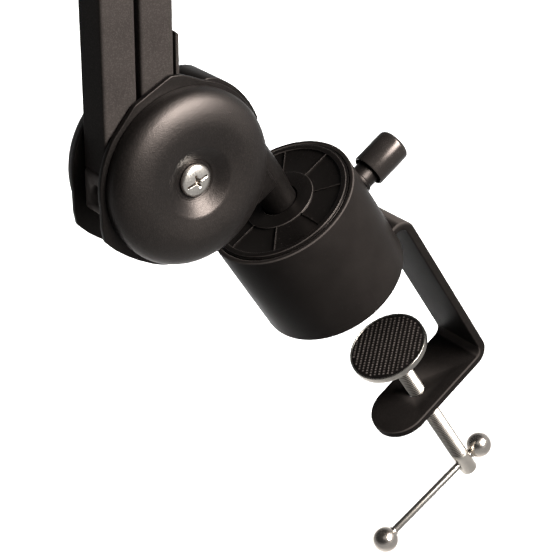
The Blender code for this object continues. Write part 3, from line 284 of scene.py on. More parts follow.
class Shader:
    """A short way to wire up the nodes of one material. Places are the object's, in millimetres."""

    def __init__(self, name):
        self.material = bpy.data.materials.new(name)
        self.material.use_nodes = True
        self.tree = self.material.node_tree
        self.main = self.tree.nodes["Principled BSDF"]
        metres = self.source("TexCoord", "Object")
        self.place = self.vector("MULTIPLY", metres, (1 / MM, 1 / MM, 1 / MM))

    def node(self, kind, inputs, **settings):
        made = self.tree.nodes.new(kind)
        for key, value in settings.items():
            setattr(made, key, value)
        for key, value in inputs.items():
            self.feed(made.inputs[key], value)
        return made

    def feed(self, socket, value):
        if isinstance(value, bpy.types.NodeSocket):
            self.tree.links.new(value, socket)
        else:
            socket.default_value = value

    def source(self, kind, output):
        return self.tree.nodes.new("ShaderNode" + kind).outputs[output]

    def vector(self, operation, a, b):
        return self.node("ShaderNodeVectorMath", {0: a, 1: b}, operation=operation).outputs[0]

    def maths(self, operation, a, b):
        return self.node("ShaderNodeMath", {0: a, 1: b}, operation=operation).outputs[0]

    def noise(self, grain, detail, place=None, roughness=0.55):
        """Noise with grains of about that size in millimetres."""
        settings = {"Scale": 1.0 / grain, "Detail": detail, "Roughness": roughness}
        made = self.node("ShaderNodeTexNoise", settings)
        self.feed(made.inputs["Vector"], place or self.place)
        return made.outputs["Fac"]

    def band(self, value, low, high, out_low=0.0, out_high=1.0):
        """Stretch one range of a value over another, and hold it there."""
        ranged = self.node("ShaderNodeMapRange", {0: value, 1: low, 2: high, 3: out_low, 4: out_high})
        return ranged.outputs[0]

    def mix(self, amount, a, b):
        made = self.node("ShaderNodeMix", {"Factor": amount}, data_type="RGBA")
        self.feed(made.inputs[6], a)
        self.feed(made.inputs[7], b)
        return made.outputs[2]

    def bump(self, height, distance):
        settings = {"Height": height, "Distance": distance * MM, "Strength": 1.0}
        return self.node("ShaderNodeBump", settings).outputs["Normal"]

    def height(self):
        return self.node("ShaderNodeSeparateXYZ", {0: self.place}).outputs[2]

    def off_axis(self):
        """Distance from the object's Z axis."""
        flat = self.vector("MULTIPLY", self.place, (1.0, 1.0, 0.0))
        return self.node("ShaderNodeVectorMath", {0: flat}, operation="LENGTH").outputs["Value"]

    def slope(self):
        """How far a face is turned from level: 0 when it faces straight up."""
        facing = self.source("TexCoord", "Normal")
        return self.maths("SUBTRACT", 1.0, self.node("ShaderNodeSeparateXYZ", {0: facing}).outputs[2])

    def sharpness(self, low, high):
        """Where the shape is pointed, or hollow when the range runs downwards."""
        return self.band(self.source("NewGeometry", "Pointiness"), low, high)

    def done(self, colour, roughness, metallic=0.0, normal=None, specular=0.5, tint=(1.0, 1.0, 1.0)):
        self.feed(self.main.inputs["Base Color"], colour)
        self.feed(self.main.inputs["Roughness"], roughness)
        self.feed(self.main.inputs["Metallic"], metallic)
        self.feed(self.main.inputs["Specular IOR Level"], specular)
        self.feed(self.main.inputs["Specular Tint"], (*tint, 1.0))
        if normal:
            self.feed(self.main.inputs["Normal"], normal)
        return self.material


WARM = (1.0, 0.87, 0.81)
# The tip grey is the colour of the painted highlight on the rubber's knurl tips.
SPOT_GREY, DUST_GREY, RUBBED_GREY, SCUFF_GREY, TIP_HIGHLIGHT_GREY = 0.12, 0.30, 0.09, 0.14, 0.06
# Brownish colour of the painted shade in the screw's recess.
SLOT_SHADE_BROWN = (0.10, 0.075, 0.055, 1.0)


def tinted(level, tint=WARM):
    return (level * tint[0], level * tint[1], level * tint[2], 1.0)


def clouded(shader, cloud, level):
    """A colour that drifts a little darker and lighter over the piece."""
    return shader.mix(shader.band(cloud, 0.3, 0.7), tinted(level * 0.85), tinted(level * 1.15))


def paint(name, level, rough, grain, bump, specular, wear, dust, speckle, crest=None):
    """Powder coat: fine grain, cloudy tone, dust specks, rubbed edges and, with a crest, a painted highlight.

    A crest is two heights and a level: rounded edges above those heights are painted that much paler, a painted
    highlight along the top edge.
    """
    s = Shader(name)
    coarse = s.maths("MULTIPLY", s.noise(grain * 3.1, 2.0), 0.5)
    grains = s.maths("ADD", s.noise(grain, 2.0), coarse)
    cloud = s.noise(16.0, 3.0)
    specks = s.band(s.noise(0.8, 0.0), 0.80, 0.84)
    rubbed = s.maths("MULTIPLY", s.sharpness(0.56, 0.66), s.band(s.noise(2.5, 4.0), 0.40, 0.60))
    spots = s.band(s.noise(grain, 1.0), 0.50, 0.66)
    colour = clouded(s, cloud, level)
    colour = s.mix(s.maths("MULTIPLY", spots, speckle), colour, tinted(SPOT_GREY))
    colour = s.mix(s.maths("MULTIPLY", specks, dust), colour, tinted(DUST_GREY))
    colour = s.mix(s.maths("MULTIPLY", rubbed, wear), colour, tinted(RUBBED_GREY))
    # Painted highlight: rounded edges above the crest heights are made paler.
    if crest:
        low, high, highlight_level = crest
        rounded = s.maths("MULTIPLY", s.band(s.slope(), 0.02, 0.10), s.band(s.slope(), 0.98, 0.90))
        painted_highlight = s.maths("MULTIPLY", rounded, s.band(s.height(), low, high))
        colour = s.mix(painted_highlight, colour, tinted(highlight_level))
    roughness = s.band(cloud, 0.3, 0.7, rough - 0.025, rough + 0.025)
    return s.done(colour, roughness, 0.0, s.bump(grains, bump), specular, WARM)


def moulded(name, level, rough, bump, specular):
    """Moulded plastic: fine spark-eroded skin, faint scuffs."""
    s = Shader(name)
    skin_grain = s.noise(0.35, 2.0)
    stretched = s.vector("MULTIPLY", s.place, (1.0, 7.0, 1.0))
    scuffs = s.band(s.noise(1.1, 6.0, stretched, 0.7), 0.58, 0.72)
    cloud = s.noise(9.0, 3.0)
    colour = clouded(s, cloud, level)
    colour = s.mix(s.maths("MULTIPLY", scuffs, 0.12), colour, tinted(SCUFF_GREY))
    gloss = s.band(cloud, 0.3, 0.7, rough - 0.04, rough + 0.04)
    roughness = s.maths("ADD", gloss, s.maths("MULTIPLY", scuffs, 0.1))
    return s.done(colour, roughness, 0.0, s.bump(skin_grain, bump), specular, WARM)


def metal(name, colour, rough, lines, bump, hollow_shade, groove=None, slot=None):
    """Machined or plated metal: fine tool lines, cloudy plating, and painted shade in its hollows.

    A groove is the radius at a thread's root and near its crest, with painted shade at the root. A slot is the two
    heights between which a brownish painted shade sets in, and the radius round the axis inside which it does.
    """

    def shade(factor):
        return (*(c * factor for c in colour), 1.0)

    s = Shader(name)
    tool = s.noise(0.5, 3.0, s.vector("MULTIPLY", s.place, lines))
    cloud = s.noise(6.0, 4.0)
    # Painted shade: hollows found by pointiness are darkened.
    hollow = s.maths("MULTIPLY", s.sharpness(0.49, 0.42), hollow_shade)
    specks = s.band(s.noise(0.7, 3.0), 0.66, 0.72)
    tone = s.mix(s.band(cloud, 0.35, 0.65), shade(0.86), shade(1.0))
    tone = s.mix(hollow, tone, shade(0.3))
    tone = s.mix(s.maths("MULTIPLY", specks, 0.25), tone, shade(0.5))
    if groove:
        root_r, crest_r = groove
        # Painted shade: the thread's root is darkened towards an eighth of the metal's colour.
        root = s.band(s.off_axis(), crest_r, root_r)
        tone = s.mix(s.maths("MULTIPLY", root, 0.9), tone, shade(0.12))
    if slot:
        clean_z, dark_z, slot_r = slot
        # Painted shade: inside the slot radius, the recess walls and floor are darkened towards a brown.
        inside = s.maths("LESS_THAN", s.off_axis(), slot_r)
        walls = s.maths("MAXIMUM", s.band(s.height(), clean_z, dark_z), s.band(s.slope(), 0.25, 0.35))
        sunk = s.maths("MULTIPLY", walls, inside)
        tone = s.mix(s.maths("MULTIPLY", sunk, 0.85), tone, SLOT_SHADE_BROWN)
    fine_lines = s.band(tool, 0.3, 0.7, rough * 0.8, rough * 1.25)
    roughness = s.maths("ADD", fine_lines, s.maths("MULTIPLY", specks, 0.15))
    return s.done(tone, roughness, 1.0, s.bump(tool, bump))


def rubber(name, level, rough, tips):
    """Rubber: pebbled skin, dusty in patches, its raised tips painted pale between two heights as a painted
    highlight.
    """
    s = Shader(name)
    skin_grain = s.noise(0.3, 3.0)
    dust = s.band(s.noise(3.0, 5.0), 0.45, 0.75)
    colour = s.mix(s.maths("MULTIPLY", dust, 0.3), tinted(level), tinted(level * 2.0))
    patches = s.band(s.noise(2.0, 3.0), 0.3, 0.6, 0.45, 1.0)
    # Painted highlight: the knurl tips between the two heights are made paler in patches.
    painted_tip_highlight = s.maths("MULTIPLY", s.band(s.height(), *tips), patches)
    colour = s.mix(painted_tip_highlight, colour, tinted(TIP_HIGHLIGHT_GREY))
    roughness = s.band(dust, 0.0, 1.0, rough, rough + 0.1)
    return s.done(colour, roughness, 0.0, s.bump(skin_grain, 0.03), 0.06, WARM)


DOME_PAINT = paint(
    "dome_paint", level=0.001, rough=0.43, grain=0.42, bump=0.080, specular=0.38,
    wear=0.0, dust=0.0, speckle=0.045,
)
# The crests on the drum, lid and bracket paint a highlight along their rounded top edges.
DRUM_PAINT = paint(
    "drum_paint", level=0.0075, rough=0.40, grain=0.30, bump=0.012, specular=0.02,
    wear=0.02, dust=0.01, speckle=0.01, crest=(HOUSING_TOP - 0.7, HOUSING_TOP - 0.6, 0.035),
)
LID_PAINT = paint(
    "lid_paint", level=0.003, rough=0.28, grain=0.35, bump=0.008, specular=0.16,
    wear=0.05, dust=0.03, speckle=0.01, crest=(LID_TOP - 0.5, LID_TOP - 0.4, 0.028),
)
CAST_PAINT = paint(
    "cast_paint", level=0.002, rough=0.38, grain=0.50, bump=0.060, specular=0.20,
    wear=0.15, dust=0.01, speckle=0.025,
)
BENT_PAINT = paint(
    "bent_bar_paint", level=0.006, rough=0.46, grain=0.40, bump=0.020, specular=0.012,
    wear=0.03, dust=0.01, speckle=0.02, crest=(JAW_TOP - 0.8, JAW_TOP - 0.7, 0.03),
)
TUBE_PAINT = paint(
    "tube_paint", level=0.020, rough=0.46, grain=0.45, bump=0.030, specular=0.03,
    wear=0.1, dust=0.01, speckle=0.09,
)
KNOB_PLASTIC = moulded("knob_plastic", level=0.009, rough=0.22, bump=0.002, specular=0.38)
PLUG_PLASTIC = moulded("plug_plastic", level=0.070, rough=0.45, bump=0.020, specular=0.3)
# The pad's knurl tips take a painted highlight.
PAD_RUBBER = rubber("pad_rubber", level=0.003, rough=0.5, tips=(PAD_TOP - 0.2, PAD_TOP - 0.02))
# Each metal's hollow_shade darkens its hollows as painted shade. The screw's slot and the thread's root take
# painted shade too.
CHROME = metal(
    "polished_chrome", (0.70, 0.64, 0.58), rough=0.20, lines=(1.0, 1.0, 1.0), bump=0.0004, hollow_shade=0.3
)
SCREW_NICKEL = metal(
    "screw_nickel", (0.70, 0.66, 0.61), rough=0.30, lines=(1.0, 1.0, 1.0), bump=0.002, hollow_shade=0.3,
    slot=(SCREW_TOP - 0.48, SCREW_TOP - 0.56, 4.9),
)
NICKEL = metal(
    "nickel_plate", (0.42, 0.395, 0.36), rough=0.28, lines=(1.0, 1.0, 10.0), bump=0.003, hollow_shade=0.6
)
THREAD = metal(
    "threaded_nickel", (0.66, 0.615, 0.555), rough=0.34, lines=(1.0, 1.0, 10.0), bump=0.003, hollow_shade=0.3,
    groove=(ROD_R - 0.4, ROD_R - 0.08),
)
STEEL = metal("zinc_steel", (0.36, 0.34, 0.32), rough=0.34, lines=(1.0, 1.0, 6.0), bump=0.003, hollow_shade=0.5)
BRONZE = metal("oiled_bronze", (0.42, 0.30, 0.16), rough=0.42, lines=(1.0, 1.0, 8.0), bump=0.004, hollow_shade=0.5)
BRASS = metal("turned_brass", (0.60, 0.45, 0.20), rough=0.30, lines=(1.0, 1.0, 12.0), bump=0.003, hollow_shade=0.4)
BY_SLOT = {
    "black_paint": CAST_PAINT,
    "black_bar": TUBE_PAINT,
    "black_plastic": KNOB_PLASTIC,
    "grey_plastic": PLUG_PLASTIC,
    "rubber": PAD_RUBBER,
    "chrome": CHROME,
    "nickel": NICKEL,
    "steel": STEEL,
    "bronze": BRONZE,
    "brass": BRASS,
}


# Pieces

def at(point, turn=Matrix.Identity(4)):
    return Matrix.Translation(Vector(point)) @ turn


def place_object(name, bm, material, spot, bevel=0.0, angle=35.0):
    """Make an object of a mesh in millimetres. Edges sharper than the angle are bevelled or kept crisp."""
    bmesh.ops.remove_doubles(bm, verts=bm.verts, dist=1e-4)
    bmesh.ops.recalc_face_normals(bm, faces=bm.faces)
    bm.transform(Matrix.Scale(MM, 4))
    mesh = bpy.data.meshes.new(name)
    bm.to_mesh(mesh)
    bm.free()
    mesh.shade_smooth()
    if material:
        mesh.materials.append(material)
    obj = bpy.data.objects.new(name, mesh)
    bpy.context.scene.collection.objects.link(obj)
    in_metres = spot.copy()
    in_metres.translation = spot.translation * MM
    obj.matrix_world = in_metres
    if bevel:
        rounding = obj.modifiers.new("rounding", "BEVEL")
        rounding.width = bevel * MM
        rounding.segments = 2
        rounding.limit_method = "ANGLE"
        rounding.angle_limit = math.radians(angle)
        weighted = obj.modifiers.new("weighted", "WEIGHTED_NORMAL")
        weighted.keep_sharp = True
    else:
        mesh.set_sharp_from_angle(angle=math.radians(angle))
    return obj


def fine(node, bm, material=None, spot=Matrix.Identity(4), bevel=0.0, angle=35.0, cutters=()):
    """The detailed piece that is shown for a CAD node."""
    obj = place_object(node + "_fine", bm, material or BY_SLOT[SLOT_OF[node]], spot, bevel, angle)
    for tool in cutters:
        opening = obj.modifiers.new("opening", "BOOLEAN")
        opening.operation = "DIFFERENCE"
        opening.solver = "EXACT"
        opening.object = tool
        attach(tool, BODY_OF[node])
    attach(obj, BODY_OF[node])
    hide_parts(node)


def cutter(bm, spot=Matrix.Identity(4)):
    """A hidden shape that a piece is cut with."""
    obj = place_object("opening_tool", bm, None, spot)
    obj.hide_render = True
    obj.hide_viewport = True
    obj.display_type = "WIRE"
    return obj


def drill(radius, spot, half=12.0, sides=40):
    """A straight hole through the spot, along its Z axis."""
    return cutter(rod(radius, -half, half, sides, 0.0), spot)


# Base

LID_RIBS = 8
PAD_GROOVES = 12


def base():
    foot = HOUSING_LOW.z
    seat_r, ledge = LID_R + 0.3, LID_LOW.z - 0.3
    inner_r, floor_z, ceiling = 29.5, 12.2, 9.2
    plate_r = 31.1
    boss_r, bore_r, boss_top = 13.7, 10.8, 46.0
    wall = [
        (plate_r, foot), (HOUSING_R, foot), (HOUSING_R, HOUSING_TOP), (seat_r, HOUSING_TOP),
        (seat_r, ledge), (inner_r, ledge), (inner_r, floor_z), (boss_r, floor_z),
        (boss_r, boss_top), (bore_r, boss_top), (bore_r, ceiling), (plate_r, ceiling),
    ]
    flange_slot = cutter(block((24.0, 40.0), (-15.2, 15.2), (4.6, 9.1)))
    thumb_hole = cutter(rod(3.3, 0.0, 40.0), at((0, 0, THUMB_Z), ALONG_X))
    fine("base_housing", lathe(soften(wall, 0.55), 160), DRUM_PAINT, cutters=(flange_slot, thumb_hole))
    lid()
    grooves = [(0, 1.7), (30.8, 1.7), (30.8, 0.35), (30.4, 0.0)]
    for i in range(PAD_GROOVES):
        r = 28.6 - 2.2 * i
        grooves += [(r + 0.5, 0.0), (r + 0.25, 0.5), (r - 0.25, 0.5), (r - 0.5, 0.0)]
    grooves.append((0, 0.0))
    fine("desk_pad", turned(grooves, 128))


def lid():
    """The lid: a disc with a raised rim and hub, and ribs between them."""
    hub_r, hole_r = 15.5, 8.4
    rim_in, rim_out = 28.65, LID_R - 0.9
    panel, step = LID_TOP - 0.9, LID_TOP - 0.65
    outline = [
        (hole_r, LID_LOW.z), (LID_R, LID_LOW.z), (LID_R, step), (rim_out, step), (rim_out, LID_TOP),
        (rim_in, LID_TOP), (rim_in, panel), (hub_r, panel), (hub_r, LID_TOP), (hole_r, LID_TOP),
    ]
    shells = [lathe(soften(outline, 0.22), 160)]
    for i in range(LID_RIBS):
        rib = block((hub_r - 0.2, rim_in + 0.15), (-0.27, 0.27), (panel - 0.3, LID_TOP - 0.15))
        crest = [e for e in rib.edges if min(v.co.z for v in e.verts) > panel - 0.1 and e.calc_length() > 5.0]
        bmesh.ops.bevel(rib, geom=crest, offset=0.2, segments=3, affect="EDGES")
        turn = Matrix.Rotation(math.radians(-1.8 + 360.0 / LID_RIBS * i), 4, "Z")
        shells.append(moved(rib, turn))
    fine("top_lid", together(*shells), LID_PAINT)


# Clamp

def bent_bar():
    """The bracket: a rounded section carried along its bent middle line, with a rounded jaw tip."""
    half_thick, half_wide = BAR_THICK / 2, BAR_WIDE / 2
    bend_r = 6.3
    flange_start, jaw_tip = 9.0, -23.2
    flange_z, jaw_z = BRACKET_HIGH.z - half_thick, BRACKET_LOW.z + half_thick
    bend_x = BRACKET_HIGH.x - half_thick - bend_r
    bend_steps, tip_steps, tip_turn = 16, 30, 88.5
    stations = [(flange_start, flange_z, 90.0, half_wide), (20.0, flange_z, 90.0, half_wide)]
    for z, start in ((flange_z - bend_r, 90.0), (jaw_z + bend_r, 0.0)):
        for i in range(bend_steps + 1):
            angle = start - 90.0 * i / bend_steps
            across, up = polar(bend_r, angle)
            stations.append((bend_x + across, z + up, angle, half_wide))
    for i in range(tip_steps + 1):
        narrow, reach = polar(half_wide, tip_turn * i / tip_steps)
        stations.append((jaw_tip + half_wide - reach, jaw_z, -90.0, narrow))
    corners = [(1, -1), (1, 1), (-1, 1), (-1, -1)]
    section = soften([(a * half_thick, b * half_wide) for a, b in corners], 0.65)
    rows = []
    for x, z, angle, half in stations:
        across, up = polar(1.0, angle)
        row = []
        for a, b in section:
            y = math.copysign(max(half - (half_wide - abs(b)), 0.0), b)
            row.append((x + across * a, y, z + up * a))
        rows.append(row)
    return skin(rows)


def clamp():
    hole = cutter(rod(4.5, JAW_TOP - 8.2, JAW_TOP + 3.8, 48, 0.0), at(CLAMP_AXIS))
    cone = [(0, 0.8), (5.6, 0.8), (4.4, -0.6), (4.4, -2.2), (0, -2.2)]
    sink = cutter(turned([(r, JAW_TOP + z) for r, z in cone], 48), at(CLAMP_AXIS))
    fine("c_bracket", bent_bar(), BENT_PAINT, angle=50.0, cutters=(hole, sink))
    pad()
    clamp_rod()
    handle()


def pad():
    """The plated cup with its socket, and the knurled rubber disc in it."""
    rim_z, cup_z, socket_z = PAD_TOP - 0.2, PAD_TOP - 3.4, PAD_TOP - 9.0
    ball_z = PAD_BALL.z
    cup = [
        (0, PAD_TOP - 2.9), (18.2, PAD_TOP - 2.9), (18.2, rim_z), (19.0, rim_z), (19.0, cup_z + 0.2),
        (18.4, cup_z), (7.6, cup_z), (6.7, cup_z - 1.0), (6.1, socket_z), (4.1, socket_z),
        (3.95, ball_z), (3.2, ball_z + 2.2), (0, ball_z + 3.75),
    ]
    fine("pad_cup", turned(soften(cup, 0.25, closed=False), 128), NICKEL, at(CLAMP_AXIS))
    face = [
        (0, PAD_LOW.z), (18.05, PAD_LOW.z), (18.05, PAD_TOP - 0.45),
        (17.6, PAD_TOP - 0.3), (0, PAD_TOP - 0.3),
    ]
    disc = turned(face, 96)
    knurl = knurls(18.3, 2.2, 1.45, PAD_TOP - 0.45, PAD_TOP)
    fine("clamp_pad", together(disc, knurl), PAD_RUBBER, at(CLAMP_AXIS))


def knurls(radius, apart, along, z0, z1):
    """Columns of small blunt pyramids inside a circle, set closer along a column than across."""
    bm = bmesh.new()
    count = int(radius / along) + 1
    for i in range(-count, count + 1):
        for j in range(-count, count + 1):
            x, y = (i + 0.5) * apart, j * along
            if math.hypot(x, y) > radius - apart * 0.4:
                continue
            foot = [(x + 0.46 * sx * apart, y + 0.47 * sy * along, z0) for sx, sy in SQUARE]
            tip = [(x + 0.10 * sx * apart, y + 0.26 * sy * along, z1) for sx, sy in SQUARE]
            skin([foot, tip], bm=bm)
    return moved(bm, Matrix.Rotation(math.radians(-55.0), 4, "Z"))


def clamp_rod():
    """The rod: a ball neck, the thread and the plain end that the handle goes through."""
    thread_low, thread_high = -145.0, -66.2
    neck = arc(0, PAD_BALL.z, 3.6, 90, -43.8, 14) + [(2.6, -65.4), (3.5, -66.4), (0, -66.6)]
    plain = soften([(0, -144.6), (ROD_R, thread_low), (ROD_R, ROD_END), (0, ROD_END)], 1.0, 5, closed=False)
    thread = helix(ROD_R, 0.55, ROD_PITCH, thread_low, thread_high, 44)
    whole = together(turned(neck, 48), thread, turned(plain, 56))
    cross_hole = drill(2.1, at(HANDLE_MIDDLE, handle_turn()), 8.0, 32)
    fine("clamp_rod", whole, THREAD, at(CLAMP_AXIS), cutters=(cross_hole,))


def handle_turn():
    """Turns +Z into the handle's direction."""
    return Matrix.Rotation(math.radians(HANDLE_TURN), 4, "Z") @ ALONG_X


def handle():
    spot = at(HANDLE_MIDDLE, handle_turn())
    fine("tommy_bar", rod(1.85, -6.5, 51.7, 40), NICKEL, spot)
    for i, (along, side) in enumerate(((-10.83, 1), (56.0, -1))):
        ball = arc(0, 0, 6.33, -90, 90, 40)
        collar = soften([(0, 4.6), (2.6, 4.6), (2.6, 6.35), (2.05, 6.45), (0, 6.45)], 0.15, 2, closed=False)
        facing = Matrix.Scale(side, 4, (0, 0, 1))
        whole = together(turned(ball, 64), moved(turned(collar, 40), facing))
        fine("bar_ball_%d" % (i + 1), whole, CHROME, spot @ at((0, 0, along)))


def thumb():
    """The side screw with its collar, and the plastic cap pressed on it."""
    axis = at((0, 0, THUMB_Z), ALONG_X)
    start = HOUSING_R + 0.3
    shaft = [
        (0, 10.8), (3.0, 10.8), (3.0, start), (6.2, start), (6.2, start + 1.5), (5.6, start + 1.9),
        (5.6, start + 10.5), (0, start + 10.5),
    ]
    fine("thumb_screw", turned(soften(shaft, 0.3, closed=False), 96), CAST_PAINT, axis)
    knob = [
        (0, 45.1), (5.9, 45.1), (5.9, 44.0), (6.85, 44.0), (6.95, 41.4), (7.1, 41.1), (7.35, 41.0),
        (7.65, 41.15), (7.8, 41.5),
    ]
    knob += arc(5.6, 57.2, 2.2, 0, 90, 12) + [(4.4, 59.35), (4.0, 59.2), (0, 59.2)]
    fine("thumb_knob", turned(knob, 112), KNOB_PLASTIC, axis)


# Yoke

def plate_outline():
    """The side plate: a disc with two blunt corners."""
    points = arc(0, 0, 38.3, -150, 42, 60)
    points += [polar(41.3, 57), polar(42.2, 64), polar(40.6, 72), polar(40.0, 90)]
    points += arc(0, 0, 38.7, 112, 155, 20)
    points += [polar(40.7, 167), polar(42.2, 175), polar(40.7, -176), polar(39.5, -168), polar(38.7, -159)]
    return soften(points, 1.2)


def casting(outlines):
    """Two side plates, webs between them and a tie through the middle, round the origin."""
    plate, *webs = outlines
    shells = [prism(plate, *side) for side in PLATES]
    shells += [prism(web, -WEB_Y, WEB_Y) for web in webs]
    ease(0.45, *shells)
    shells.append(moved(rod(4.2, -WEB_Y, WEB_Y), FRONT))
    return together(*shells)


def yoke():
    bead = [polar(*p) for p in ((39.6, 34), (38.9, 38), (37.4, 41), (35.6, 42), (34.3, 39.5), (35.2, 35))]
    rim = arc(0, 0, 40.0, -12, 30, 21) + flowing(bead, 4) + arc(0, 0, 37.0, 30, -12, 21)
    gusset = soften(arc(0, 0, 35.3, -62, -30.6, 14) + [(30.4, -39.8), (17.0, -39.8)], 2.0)
    plates = moved(casting([plate_outline(), rim, gusset]), Matrix.Translation(YOKE))
    stem_r, groove_r, neck_r = 7.5, 6.8, 8.3
    stem = [(0, 28.3), (3.3, 28.3), (3.3, 16.0), (stem_r, 16.0)]
    stem += [(stem_r, 48.6), (groove_r, 48.6), (groove_r, 50.5), (stem_r, 50.5), (stem_r, 57.0)]
    stem = soften(stem, 0.3, closed=False)
    stem += flowing([(7.55, 58.0), (7.7, 61.0), (8.1, 65.0), (neck_r, 69.0), (neck_r, 72.0)], 4)
    stem += [(neck_r, 101.2), (7.6, 102.0), (0, 102.0)]
    fine("yoke_casting", together(plates, turned(stem, 112)), CAST_PAINT, angle=40.0)


def dome(node, spot):
    """Side wall, bulge, slightly dished plateau and the dimple that the screw sits in."""
    bulge = [
        (36.5, 3.0), (36.2, 4.7), (35.3, 6.5), (33.6, 8.3), (31.4, 9.65), (28.8, 10.7), (26.2, 11.35),
        (24.2, 11.6), (22.4, 11.62), (19.5, 11.4), (16.5, 11.0), (14.8, 10.7), (13.7, 10.15),
        (11.6, 8.75), (9.7, 7.4), (8.7, 6.85), (8.2, 6.35), (7.7, 6.2),
    ]
    hollow = [(14.8, 4.9), (24.0, 10.3), (31.0, 8.0), (35.2, 3.0), (35.2, 0.0)]
    profile = [(COVER_R - 0.5, 0.0), (COVER_R, 0.35), (COVER_R, 2.2)] + flowing(bulge, 6)
    profile += [(3.3, 6.2), (3.3, 4.9)] + hollow
    fine(node, lathe(profile, 192), DOME_PAINT, spot, angle=45.0)


def recess(top):
    """A combination recess: a long slot across the head, a shorter one across it and a cone between."""
    tools = []
    for turn, low_l, high_l in ((-12.0, 4.7, 5.3), (78.0, 2.2, 3.4)):
        low = [(x * low_l, y * 0.42, top - 1.7) for x, y in SQUARE]
        high = [(x * high_l, y * 0.66, top + 0.6) for x, y in SQUARE]
        tools.append(moved(skin([low, high]), Matrix.Rotation(math.radians(turn), 4, "Z")))
    tools.append(turned([(0, top - 2.5), (0.6, top - 2.2), (1.9, top + 0.6), (0, top + 0.6)], 24))
    return tools


def cover_screw(node, spot):
    """A pan-head screw, its head above the dimple's seat."""
    crown = [(6.55, 1.3), (6.0, 1.9), (4.8, 2.4), (2.9, 2.72), (0, 2.8)]
    profile = [(0, -8.0), (3.0, -8.0), (3.0, SCREW_SEAT), (6.4, SCREW_SEAT)]
    profile += [(6.7, SCREW_SEAT + 0.35), (6.7, SCREW_SEAT + 0.8)]
    profile += flowing([(r, SCREW_SEAT + z) for r, z in crown])
    tools = [cutter(tool, spot) for tool in recess(SCREW_TOP)]
    fine(node, turned(profile, 80), SCREW_NICKEL, spot, cutters=tools)


def covers(prefix, centre):
    for label, side, towards in SIDES:
        dome("%s_cover_%s" % (prefix, label), at(centre + Vector((0, side * COVER_SEAT, 0)), towards))
        screw_spot = at(centre + Vector((0, side * PLATE_OUT, 0)), towards)
        cover_screw("%s_cover_screw_%s" % (prefix, label), screw_spot)


# Arms

def rounded_rect(half_x, half_y, radius):
    return soften([(half_x, -half_y), (half_x, half_y), (-half_x, half_y), (-half_x, -half_y)], radius, 5)


def tube(half_x, half_y, wall, z0, z1):
    """A square tube with its inner and outer corners rounded."""
    outer = rounded_rect(half_x, half_y, 1.5)
    inner = rounded_rect(half_x - wall, half_y - wall, 0.6)
    rims = ((inner, z1), (inner, z0), (outer, z0), (outer, z1))
    return skin([[(x, y, z) for x, y in outline] for outline, z in rims], ends=False)


def end_plug(node, spot, level, inward):
    """A plastic plug at one end of a tube: a rounded body round the pivot and a tenon inside the tube."""
    low, high = sorted((level - inward * 8.5, level + inward * 9.2))
    outline = soften([(-TUBE_X, low), (TUBE_X, low), (TUBE_X, high), (-TUBE_X, high)], 2.2, 6)
    body = prism(outline, -TUBE_Y, TUBE_Y)
    ease(0.5, body)
    tenon = block((-6.0, 6.0), (-6.775, 6.775), sorted((level + inward * 6.2, level + inward * 35.5)))
    pivot = spot @ at((0, 0, level))
    holes = (drill(PIVOT_BORE_R, pivot @ FRONT), drill(4.2, pivot @ ALONG_X))
    fine(node, together(body, tenon), PLUG_PLASTIC, spot, cutters=holes)


def bar(name, pivot, lean):
    spot = at(pivot, Matrix.Rotation(lean, 4, "Y"))
    end_gap = 9.5
    shell = tube(TUBE_X, TUBE_Y, 1.2, end_gap, ARM_L - end_gap)
    fine("%s_bar" % name, shell, TUBE_PAINT, spot, bevel=0.2, angle=50.0)
    end_plug("%s_plug_near" % name, spot, 0.0, 1)
    end_plug("%s_plug_far" % name, spot, ARM_L, -1)
    return spot


def stop_strip(spot):
    """The strip on the front tube, held by a post with a domed button."""
    strip = soften([(8.3, 12.0), (9.8, 12.0), (9.8, 43.0), (8.3, 44.5)], 0.6)
    shell = prism(strip, -TUBE_Y, 3.725)
    ease(0.25, shell)
    button_y, button_z, button_r, flatness = -2.275, 28.25, 4.2, 0.28
    post = moved(rod(2.0, 7.8, 9.4, 40, 0.1), at((0, button_y, button_z), ALONG_X))
    crown = [(0, -0.6), (button_r, -0.6)] + arc(0, 0, button_r, 0, 90, 8)
    cap = turned([(r, z * flatness) for r, z in crown], 48)
    cap = moved(cap, at((9.75, button_y, button_z), ALONG_X))
    fine("stop_strip", together(shell, post, cap), TUBE_PAINT, spot)


def arms():
    spot = bar("lower_rear", LOWER_REAR, LOWER_LEAN)
    washer_y = TUBE_Y + 0.3
    for label, side, towards in SIDES:
        washer = ring(PIVOT_BORE_R, 6.4, PLATE_IN - 0.3 - washer_y, 0.12)
        fine("lower_rear_washer_%s" % label, washer, NICKEL, spot @ at((0, side * washer_y, 0), towards))
    stop_strip(bar("lower_front", LOWER_FRONT, LOWER_LEAN))
    bar("upper_rear", UPPER_REAR, UPPER_LEAN)
    bar("upper_front", UPPER_FRONT, UPPER_LEAN)


def elbow():
    disc = arc(0, 0, 38.0, 0, 357, 119)
    rim = arc(0, 0, 37.6, -28, 66, 40) + arc(0, 0, 35.0, 66, -28, 40)
    fine("elbow_casting", moved(casting([disc, rim]), Matrix.Translation(ELBOW)), CAST_PAINT)


# Head and microphone fork

def pin(node, centre):
    half = COVER_SEAT
    head = [(3.0, 0.0), (4.0, 0.0), (4.0, 1.4), (3.5, 2.0), (2.0, 2.2), (1.2, 1.9)]
    head = [(r, half + z) for r, z in head]
    profile = [(0, -half - 1.9)] + [(r, -z) for r, z in reversed(head)] + head + [(0, half + 1.9)]
    fine(node, turned(soften(profile, 0.3, closed=False), 56), STEEL, at(centre, FRONT))


